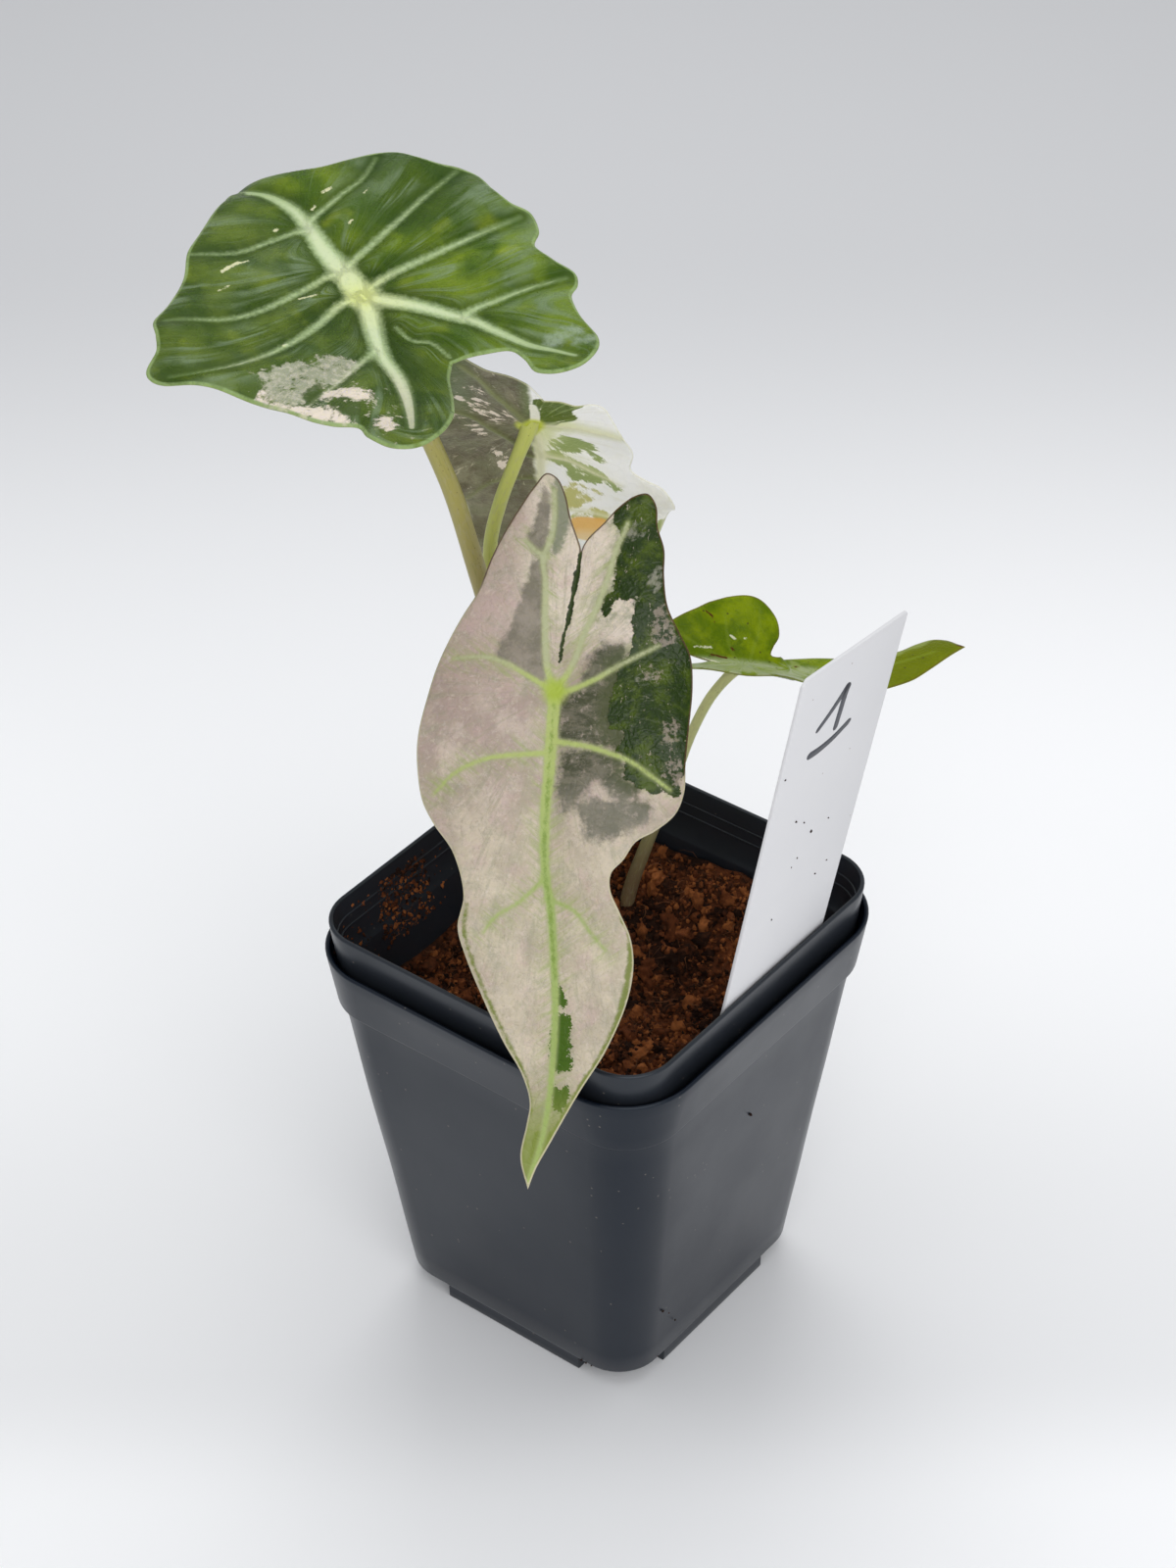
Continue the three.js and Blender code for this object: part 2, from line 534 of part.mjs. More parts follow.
// The blade's triangulation: its margin, points along its veins, and a field of points between them
function bladeNet(leaf) {
  const right = spaced(leaf.rightEdge, BLADE.edgeStep);
  const left = spaced(leaf.leftEdge, BLADE.edgeStep);
  const outline = [...right.slice(0, -1), ...left.slice(0, -1)].reverse();
  const inner = [];
  const clear = (point, space) => contains(outline, point) && distanceTo(outline, point) > 0.5 * space
    && (inner.length === 0 || distanceTo(inner, point) > 0.7 * space);
  const add = ([u, v], space) => {
    const [du, dv] = [1, 2].map((seed) => BLADE.jitter * (scatter(u, v, seed) - 0.5));
    const point = [u + du, v + dv];
    if (clear(point, space)) inner.push(point);
  };
  leaf.veins.flatMap((vein) => spaced(vein, leaf.grain)).forEach((point) => add(point, leaf.grain * 0.8));
  const ribCount = inner.length;
  const row = leaf.grain * Math.sqrt(3) / 2;
  for (let j = Math.round(-60 / row); j * row < 110; j++) {
    for (let i = Math.round(-60 / leaf.grain); i * leaf.grain < 60; i++) {
      add([(i + (j % 2) / 2) * leaf.grain, j * row], leaf.grain);
    }
  }
  const net = triangulate(outline, inner);
  return { net, outlineCount: outline.length, ribEnd: outline.length + ribCount };
}

// A blade from one distance above its middle surface to one below, with ribs standing out under its veins
function bladeSlab(leaf, { net, outlineCount, ribEnd }, above, below) {
  const surface = bladeSurface(leaf);
  const offset = ([u, v], amount) =>
    surface(u, v).addScaledVector(surfaceNormal(surface, u, v), amount).toArray();
  const lower = (point, index) => {
    const isRib = index >= outlineCount && index < ribEnd;
    return offset(point, -below - (isRib ? BLADE.rib * ribTaper(point) : 0));
  };
  return sheet(net, outlineCount, (point) => offset(point, above), lower);
}

// Ribs thin out away from the stalk
function ribTaper([u, v]) {
  return Math.max(BLADE.ribLeast, 1 - Math.hypot(u, v) / BLADE.ribFade);
}

function bladeSolid(leaf, net) {
  return bladeSlab(leaf, net, BLADE.thick / 2, BLADE.thick / 2);
}

function stalkTube(stalk, margin) {
  const curve = smoothCurve(stalk.route);
  const radiusAt = (t) => THREE.MathUtils.lerp(stalk.foot, stalk.tip, Math.min(1, t * 1.4)) + margin;
  return tube(curve, radiusAt, STALK_SIDES, Math.round(curve.getLength() / STALK_STEP));
}

// The hole in the potting mix that a stalk stands in, down to the crown
function stalkHole(stalk) {
  const [x, y, z] = stalk.route[0];
  const depth = z + 2 - CROWN.top;
  const well = new THREE.CylinderGeometry(stalk.foot, stalk.foot, depth, STALK_SIDES);
  well.rotateX(Math.PI / 2).translate(x, y, CROWN.top + depth / 2);
  return stalkTube(stalk, GAP).add(geometryToSolid(well));
}

// A stalk that stops just under its blade
function stalkSolid(stalk, leaf, net) {
  const cutter = bladeSlab(leaf, net, STALK_CUT, BLADE.thick / 2 + GAP);
  return largest(stalkTube(stalk, 0).subtract(cutter));
}

// Crown, roots and potting mix

function crownSolid(margin) {
  const { x, y, top, radius, depth } = CROWN;
  const profile = [
    [0, top - depth - margin], [3 + margin, top - depth - margin], [radius - 1 + margin, top - 18],
    [radius + margin, top - 8], [radius - 1 + margin, top - 1], [radius - 2.5, top + margin],
    [0, top + margin],
  ];
  const body = new THREE.LatheGeometry(profile.map(([r, z]) => new THREE.Vector2(r, z)), 14);
  let solid = geometryToSolid(body.rotateX(Math.PI / 2).translate(x, y, 0));
  for (let k = 0; k < ROOTS.count; k++) {
    const angle = 2 * Math.PI * (k + 0.6 * scatter(k, 1, ROOTS.seed)) / ROOTS.count;
    const spread = ROOTS.reach * (0.7 + 0.3 * scatter(k, 2, ROOTS.seed));
    const fall = ROOTS.drop * (0.7 + 0.3 * scatter(k, 3, ROOTS.seed));
    const at = (out, down) => {
      const bearing = angle + 0.01 * down;
      return [x + out * Math.cos(bearing), y + out * Math.sin(bearing), top - 14 - down];
    };
    const curve = smoothCurve([at(3, 0), at(radius, 4), at(spread, 0.5 * fall), at(0.9 * spread, fall)]);
    solid = solid.add(tube(curve, (t) => ROOTS.thick * (1 - 0.55 * t) + margin, 7, 8));
  }
  return solid;
}

function mixHeight([x, y]) {
  const heaps = HEAPS.map(({ x: hx, y: hy, spread, rise }) =>
    rise * Math.exp(-((x - hx) ** 2 + (y - hy) ** 2) / (2 * spread ** 2)));
  const rough = 1.5 * lumps(x, y, 8, MIX.seed) + 1.1 * lumps(x, y, 3.7, MIX.seed + 1);
  return MIX.level + rough + heaps.reduce((sum, heap) => sum + heap, 0);
}

function mixSolid() {
  const half = INNER_POT.rimHalf;
  const steps = Math.round(2 * half / (2 * MIX.grain));
  const side = (t) => -half + 2 * half * t / steps;
  const outline = [];
  for (let k = 0; k < steps; k++) outline.push([side(k), -half]);
  for (let k = 0; k < steps; k++) outline.push([half, side(k)]);
  for (let k = 0; k < steps; k++) outline.push([-side(k), half]);
  for (let k = 0; k < steps; k++) outline.push([-half, -side(k)]);
  const inner = [];
  const cells = Math.floor(half / MIX.grain) - 1;
  for (let j = -cells; j <= cells; j++) {
    for (let i = -cells; i <= cells; i++) {
      const shift = [0, 1].map((axis) => 0.5 * (scatter(i, j, MIX.seed + 7 + axis) - 0.5));
      inner.push([(i + shift[0]) * MIX.grain, (j + shift[1]) * MIX.grain]);
    }
  }
  const net = triangulate(outline, inner);
  const heap = sheet(net, outline.length, (p) => [...p, mixHeight(p)], (p) => [...p, 0]);
  let mix = potFilling(INNER_POT, GAP).intersect(heap).subtract(crownSolid(GAP)).subtract(labelSolid(GAP));
  STALKS.forEach((stalk) => {
    mix = mix.subtract(stalkHole(stalk));
  });
  return largest(mix);
}

// The whole plant

const plant = new THREE.Group();
plant.name = 'potted_alocasia';
plant.add(
  toMesh('outer_pot', potSolid(OUTER_POT), finish('#3d4248', 0.45)),
  toMesh('inner_pot', potSolid(INNER_POT), finish('#24282c', 0.35)),
  toMesh('potting_mix', mixSolid(), finish('#5a2c17', 0.95)),
  toMesh('rhizome', crownSolid(0), finish('#8a6a45', 0.8)),
  toMesh('plant_label', labelSolid(0), finish('#f2f2f4', 0.5)),
);
const nets = LEAVES.map(bladeNet);
STALKS.forEach((stalk) => {
  const solid = stalkSolid(stalk, LEAVES[stalk.leaf], nets[stalk.leaf]);
  plant.add(toMesh(stalk.name, solid, finish(stalk.colour, 0.5)));
});
LEAVES.forEach((leaf, k) => {
  plant.add(toMesh(leaf.name, bladeSolid(leaf, nets[k]), finish(leaf.colour, 0.35)));
});

export default plant;
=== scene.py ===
# %% [markdown]
# # A variegated alocasia in two square nursery pots
# The plant stands on a pale floor in soft light. Four leaves rise from one crown in a bed of coir,
# a plant label leans on the rim, and a second pot stands inside the first. Every lesson below makes
# one of these pieces in the frame of the measured model, so that each piece lies where its solid lies.

# %% The frame
import math
import random
import json
import numpy as np
import bpy
from mathutils import Vector, Matrix, noise
from mathutils.geometry import delaunay_2d_cdt
from mathutils.kdtree import KDTree

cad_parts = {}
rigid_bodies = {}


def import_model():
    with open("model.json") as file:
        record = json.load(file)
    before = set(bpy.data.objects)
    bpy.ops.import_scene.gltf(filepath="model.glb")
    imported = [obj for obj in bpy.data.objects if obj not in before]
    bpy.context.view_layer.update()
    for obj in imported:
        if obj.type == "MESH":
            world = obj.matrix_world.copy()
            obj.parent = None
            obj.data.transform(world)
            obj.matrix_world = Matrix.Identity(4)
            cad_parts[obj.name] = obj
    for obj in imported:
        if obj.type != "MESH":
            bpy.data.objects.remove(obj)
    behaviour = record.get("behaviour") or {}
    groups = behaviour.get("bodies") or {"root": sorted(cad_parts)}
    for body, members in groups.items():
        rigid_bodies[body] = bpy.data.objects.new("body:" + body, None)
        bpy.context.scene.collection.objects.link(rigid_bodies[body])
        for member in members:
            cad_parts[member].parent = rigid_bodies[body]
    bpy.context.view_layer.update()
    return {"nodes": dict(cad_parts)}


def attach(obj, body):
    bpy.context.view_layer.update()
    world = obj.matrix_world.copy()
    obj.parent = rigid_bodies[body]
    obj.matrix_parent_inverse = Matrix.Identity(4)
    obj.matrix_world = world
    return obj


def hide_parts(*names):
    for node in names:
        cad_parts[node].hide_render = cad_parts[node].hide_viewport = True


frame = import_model()
MM = 0.001
scene = bpy.context.scene


def put_in(name, data):
    """A new object in the scene."""
    item = bpy.data.objects.new(name, data)
    scene.collection.objects.link(item)
    return item


print("Solids:", ", ".join(frame["nodes"]))

# %% [markdown]
# ## The camera
# The view looks down on one corner of the pot from a little over an arm's length. A long lens keeps
# the pot's sides nearly parallel, and the small roll is how the picture was held.

# %% Camera
VIEW_AZIMUTH, VIEW_ELEVATION, VIEW_ROLL = (math.radians(a) for a in (37.99, 37.39, -0.458))
VIEW_PLACE = Vector((389.2, -501.8, 632.1)) * MM
level_right = Vector((math.cos(VIEW_AZIMUTH), math.sin(VIEW_AZIMUTH), 0))
view_back = Vector((
    math.sin(VIEW_AZIMUTH) * math.cos(VIEW_ELEVATION),
    -math.cos(VIEW_AZIMUTH) * math.cos(VIEW_ELEVATION),
    math.sin(VIEW_ELEVATION),
))
level_up = view_back.cross(level_right)
view_right = level_right * math.cos(VIEW_ROLL) + level_up * math.sin(VIEW_ROLL)
view_up = level_up * math.cos(VIEW_ROLL) - level_right * math.sin(VIEW_ROLL)

LENS, SENSOR = 81.8, 36
camera = put_in("camera", bpy.data.cameras.new("camera"))
camera.data.lens, camera.data.sensor_width = LENS, SENSOR
turn = Matrix((view_right, view_up, view_back)).transposed().to_4x4()
camera.matrix_world = Matrix.Translation(VIEW_PLACE) @ turn
scene.camera = camera
POT_MIDDLE = Vector((0, 0, 60)) * MM
print("Camera to pot in mm:", round((VIEW_PLACE - POT_MIDDLE).length / MM))

# %% [markdown]
# ## Helpers for meshes
# A piece could be modelled by hand with sculpting tools, but a plant is easier to keep in step with
# its solid when its shape comes from numbers: smooth paths through a few points, and meshes built
# straight from lists of points and faces.


# %% Meshes from numbers
def make_piece(name, points, faces, edges=()):
    """An object from points in millimetres."""
    mesh = bpy.data.meshes.new(name)
    mesh.from_pydata((np.asarray(points, float) * MM).tolist(), edges, faces)
    mesh.shade_smooth()
    return put_in(name, mesh)


def finished_mesh(piece):
    """Applies the piece's modifiers to its own mesh."""
    view = bpy.context.evaluated_depsgraph_get()
    mesh = bpy.data.meshes.new_from_object(piece.evaluated_get(view))
    piece.modifiers.clear()
    piece.data = mesh
    return mesh


def delete(*objects):
    for item in objects:
        bpy.data.objects.remove(item)


def mesh_points(mesh):
    flat = np.empty(3 * len(mesh.vertices))
    mesh.vertices.foreach_get("co", flat)
    return flat.reshape(-1, 3) / MM


def move_points(mesh, points):
    mesh.vertices.foreach_set("co", (points * MM).ravel())
    mesh.update()


def paint(mesh, name, values):
    """Stores a number, or three numbers, at every point of a mesh."""
    values = np.asarray(values, float)
    if values.ndim == 1:
        mesh.attributes.new(name, "FLOAT", "POINT").data.foreach_set("value", values)
    else:
        mesh.attributes.new(name, "FLOAT_VECTOR", "POINT").data.foreach_set("vector", values.ravel())


def twice(values):
    """One value for each point of a blade's two faces."""
    return np.concatenate([values, values])


def prism_faces(count):
    """The faces of a block between two copies of an anticlockwise outline."""
    ends = [tuple(range(count))[::-1], tuple(range(count, 2 * count))]
    return ends + [(k, (k + 1) % count, count + (k + 1) % count, count + k) for k in range(count)]


def report(piece):
    triangles = sum(len(face.vertices) - 2 for face in piece.data.polygons)
    print(f"{piece.name}: {triangles} triangles")


# %% Smooth paths and distances
KNOT_STEPS = 24
PATCH_STEP = 0.8


def smooth_path(points, step, closed=False):
    """A centripetal spline through the points, cut into even steps."""
    given = np.array(points, float)
    if closed:
        ring = np.vstack([given[-1:], given, given[:2]])
    else:
        ring = np.vstack([2 * given[:1] - given[1:2], given, 2 * given[-1:] - given[-2:-1]])
    t = np.linspace(0, 1, KNOT_STEPS, endpoint=False)[:, None]
    spans = []
    for a, b, c, d in zip(ring[:-3], ring[1:-2], ring[2:-1], ring[3:]):
        g, h, k = (max(np.linalg.norm(q - p) ** 0.5, 1e-4) for p, q in ((a, b), (b, c), (c, d)))
        leave = ((b - a) / g - (c - a) / (g + h) + (c - b) / h) * h
        reach = ((c - b) / h - (d - b) / (h + k) + (d - c) / k) * h
        spans.append(b + leave * t + (3 * (c - b) - 2 * leave - reach) * t**2
                     + (2 * (b - c) + leave + reach) * t**3)
    spans.append(given[:1] if closed else given[-1:])
    fine = np.vstack(spans)
    travelled = np.concatenate([[0], np.cumsum(np.linalg.norm(np.diff(fine, axis=0), axis=1))])
    places = np.linspace(0, travelled[-1], max(2, round(travelled[-1] / step)) + 1)
    even = np.column_stack([np.interp(places, travelled, axis) for axis in fine.T])
    return even[:-1] if closed else even


def distance_to_path(points, path, start_width=0.0, end_width=0.0):
    """Distance to a stroke whose half width changes evenly from its start to its end."""
    lengths = np.linalg.norm(np.diff(path, axis=0), axis=1)
    places = np.concatenate([[0], np.cumsum(lengths)]) / lengths.sum()
    best = np.full(len(points), np.inf)
    for a, b, start, end in zip(path[:-1], path[1:], places[:-1], places[1:]):
        share = np.clip((points - a) @ (b - a) / ((b - a) @ (b - a)), 0, 1)
        gap = np.linalg.norm(points - a - share[:, None] * (b - a), axis=1)
        place = start + share * (end - start)
        best = np.minimum(best, gap - start_width - (end_width - start_width) * place)
    return best


def is_inside(points, outline):
    inside = np.zeros(len(points), bool)
    x, y = points.T
    for (ax, ay), (bx, by) in zip(outline, np.roll(outline, -1, axis=0)):
        if ay != by:
            inside ^= ((ay > y) != (by > y)) & (x < ax + (bx - ax) * (y - ay) / (by - ay))
    return inside


def depth_in_patch(points, outline):
    """Distance from a patch's edge, positive inside it."""
    ring = smooth_path(outline, PATCH_STEP, closed=True)
    gap = distance_to_path(points, np.vstack([ring, ring[:1]]))
    return np.where(is_inside(points, ring), gap, -gap)


# %% [markdown]
# ## Helpers for materials
# Shader nodes are easier to read when each one is a short call. The same calls build the groups that
# several materials share, and the Geometry Nodes trees.


# %% Node trees in short calls
class Pipes:
    """Makes and links the nodes of one tree."""

    def __init__(self, tree):
        self.tree = tree

    def node(self, kind, inputs=None, output=0, **settings):
        """A new node. Its inputs are numbers, colours or other nodes' outputs, by name or place."""
        made = self.tree.nodes.new(kind)
        for key, value in settings.items():
            setattr(made, key, value)
        for key, value in (inputs or {}).items():
            socket = made.inputs[key]
            if isinstance(value, bpy.types.NodeSocket):
                self.tree.links.new(value, socket)
            elif isinstance(value, tuple) and len(value) == 3 and socket.type == "RGBA":
                socket.default_value = (*value, 1)
            else:
                socket.default_value = value
        return made.outputs[output]

    def math(self, operation, a, b=0.0):
        return self.node("ShaderNodeMath", {0: a, 1: b}, operation=operation)

    def plus(self, a, b):
        return self.math("ADD", a, b)

    def times(self, a, b):
        return self.math("MULTIPLY", a, b)

    def wobble(self, noise_value, amount):
        """Noise about its middle, so that it pushes both ways."""
        return self.times(self.math("SUBTRACT", noise_value, 0.5), amount)

    def step(self, value, low, high, to_high=1.0, to_low=0.0):
        """Goes smoothly from one number to another as the value goes from low to high."""
        return self.node("ShaderNodeMapRange", {
            "Value": value, "From Min": low, "From Max": high, "To Min": to_low, "To Max": to_high,
        }, interpolation_type="SMOOTHSTEP")

    def mix(self, below, above, share):
        return self.node("ShaderNodeMix", {0: share, 6: below, 7: above}, output=2, data_type="RGBA")

    def noise(self, vector, scale, detail=3.0, roughness=0.5, distortion=0.0):
        return self.node("ShaderNodeTexNoise", {
            "Vector": vector, "Scale": scale, "Detail": detail, "Roughness": roughness,
            "Distortion": distortion,
        })

    def scaled(self, vector, x, y, z=1.0):
        return self.node("ShaderNodeMapping", {"Vector": vector, "Scale": (x, y, z)})

    def axis(self, vector, which):
        return self.node("ShaderNodeSeparateXYZ", {0: vector}, output=which)

    def attribute(self, name, output="Fac"):
        return self.node("ShaderNodeAttribute", output=output, attribute_name=name)

    def group(self, tree, inputs):
        return self.node("ShaderNodeGroup", inputs, node_tree=tree)

    def store(self, name, geometry, value, domain="POINT"):
        """Keeps a value on a geometry under a name (in Geometry Nodes)."""
        return self.node("GeometryNodeStoreNamedAttribute",
                         {"Geometry": geometry, "Name": name, "Value": value}, domain=domain)


def new_group(name, inputs, output):
    """A shader node group with numbers or vectors as its inputs and one output."""
    tree = bpy.data.node_groups.new(name, "ShaderNodeTree")
    for label, default in inputs.items():
        kind = "NodeSocketFloat" if isinstance(default, float) else "NodeSocketVector"
        socket = tree.interface.new_socket(name=label, in_out="INPUT", socket_type=kind)
        if isinstance(default, float):
            socket.default_value = default
    tree.interface.new_socket(name=output, in_out="OUTPUT", socket_type="NodeSocketFloat")
    return tree, tree.nodes.new("NodeGroupInput").outputs, tree.nodes.new("NodeGroupOutput").inputs[0]


def new_geometry_tree(name, inputs, output):
    """A Geometry Nodes tree whose inputs are given by label and kind, with one geometry as output."""
    tree = bpy.data.node_groups.new(name, "GeometryNodeTree")
    sockets = {}
    for label, kind in inputs.items():
        sockets[label] = tree.interface.new_socket(
            name=label, in_out="INPUT", socket_type="NodeSocket" + kind)
    tree.interface.new_socket(name=output, in_out="OUTPUT", socket_type="NodeSocketGeometry")
    return tree, sockets, tree.nodes.new("NodeGroupInput").outputs


def run_tree(piece, tree, sockets, values):
    """Runs a Geometry Nodes tree on a piece and keeps the result as its mesh."""
    modifier = piece.modifiers.new(tree.name, "NODES")
    modifier.node_group = tree
    for label, value in values.items():
        modifier[sockets[label].identifier] = value
    return finished_mesh(piece)


class Finish(Pipes):
    """A material being made."""

    def __init__(self, name, **constants):
        self.slot = name
        self.material = bpy.data.materials.new(name)
        self.material.use_nodes = True
        self.colour = None
        super().__init__(self.material.node_tree)
        self.shader = self.tree.nodes["Principled BSDF"]
        for key, value in constants.items():
            self.shader.inputs[key.replace("_", " ")].default_value = value

    def set(self, key, value):
        if isinstance(value, bpy.types.NodeSocket):
            self.tree.links.new(value, self.shader.inputs[key])
        else:
            self.shader.inputs[key].default_value = value

    def lay(self, colour, mask):
        """Lays a colour over the colour so far, where the mask is."""
        self.colour = self.mix(self.colour, colour, mask)

    def finish(self):
        self.set("Base Color", self.colour)
        print("Finish:", self.slot, "from", len(self.tree.nodes), "nodes")
        return self.material

    def bump(self, height, strength, distance):
        """Bump from a height, with the distance in millimetres."""
        self.set("Normal", self.node("ShaderNodeBump", {
            "Height": height, "Strength": strength, "Distance": distance * MM}))

    def place(self):
        """Object coordinates in millimetres."""
        here = self.tree.nodes.new("ShaderNodeTexCoord").outputs["Object"]
        return self.scaled(here, 1 / MM, 1 / MM, 1 / MM)

    def speckle(self, place, scale, size, share):
        return self.group(specks, {"Place": place, "Scale": scale, "Size": size, "Share": share})


# %% [markdown]
# ## Effects that several materials share
# A patch of colour on a variegated leaf has a torn, watery edge, and dirt, pores and paler spots
# come as small specks. Each effect is a node group that is built once and set differently in each
# material.

# %% Shared effects
# A patch from the distance into it, with its edge torn by noise. Where Fill is small, the noise
# tears holes in the middle of the patch as well.
torn_patch, given, result = new_group(
    "torn_patch", {"Depth": 0.0, "Place": None, "Tear": 1.0, "Grain": 1.0, "Softness": 0.15, "Fill": 100.0},
    "Mask")
pipes = Pipes(torn_patch)
coarse = pipes.noise(given["Place"], given["Grain"], 5.0, 0.68)
tear = pipes.times(pipes.math("SUBTRACT", coarse, 0.5), given["Tear"])
torn = pipes.plus(pipes.math("MINIMUM", given["Depth"], given["Fill"]), tear)
soft = pipes.math("DIVIDE", torn, pipes.math("MAXIMUM", given["Softness"], 0.01))
torn_patch.links.new(pipes.step(soft, -1.0, 1.0), result)

# Small round specks, a share of the cells being empty
specks, given, result = new_group(
    "specks", {"Place": None, "Scale": 1.0, "Size": 0.2, "Share": 0.5}, "Mask")
pipes = Pipes(specks)
cell = specks.nodes.new("ShaderNodeTexVoronoi")
specks.links.new(given["Place"], cell.inputs["Vector"])
specks.links.new(given["Scale"], cell.inputs["Scale"])
dot = pipes.math("LESS_THAN", cell.outputs["Distance"], given["Size"])
pick = pipes.node("ShaderNodeSeparateColor", {"Color": cell.outputs["Color"]})
chosen = pipes.math("LESS_THAN", pick, given["Share"])
specks.links.new(pipes.times(dot, chosen), result)

# Fine relief of a leaf's smallest veins: a net of shallow grooves
vein_net, given, result = new_group("vein_net", {"Place": None, "Scale": 1.0, "Width": 0.1}, "Height")
pipes = Pipes(vein_net)
warp = pipes.node("ShaderNodeTexNoise", {"Vector": given["Place"], "Scale": 0.5}, output=1)
bent = pipes.node("ShaderNodeVectorMath", {0: given["Place"], 1: warp}, operation="ADD")
net = pipes.node("ShaderNodeTexVoronoi", {"Vector": bent, "Scale": given["Scale"]},
                 feature="DISTANCE_TO_EDGE")
vein_net.links.new(pipes.step(pipes.math("DIVIDE", net, given["Width"]), 0.0, 1.0), result)
print("Shared groups:", torn_patch.name, specks.name, vein_net.name)

# %% [markdown]
# ## Leaves
# A leaf of this plant is an arrowhead with two lobes behind the stalk. It is one thin blade that
# bends in every direction, swells up between its veins and is edged by a pale line. A subdivided
# plane could be bent by hand, but the blade is the same formula as the solid's, evaluated on a far
# finer net. Distances (millimetres across and along the blade) to the veins, to the margin and to
# each patch of colour are stored on the mesh, so the colours stay on the blade when it is turned.

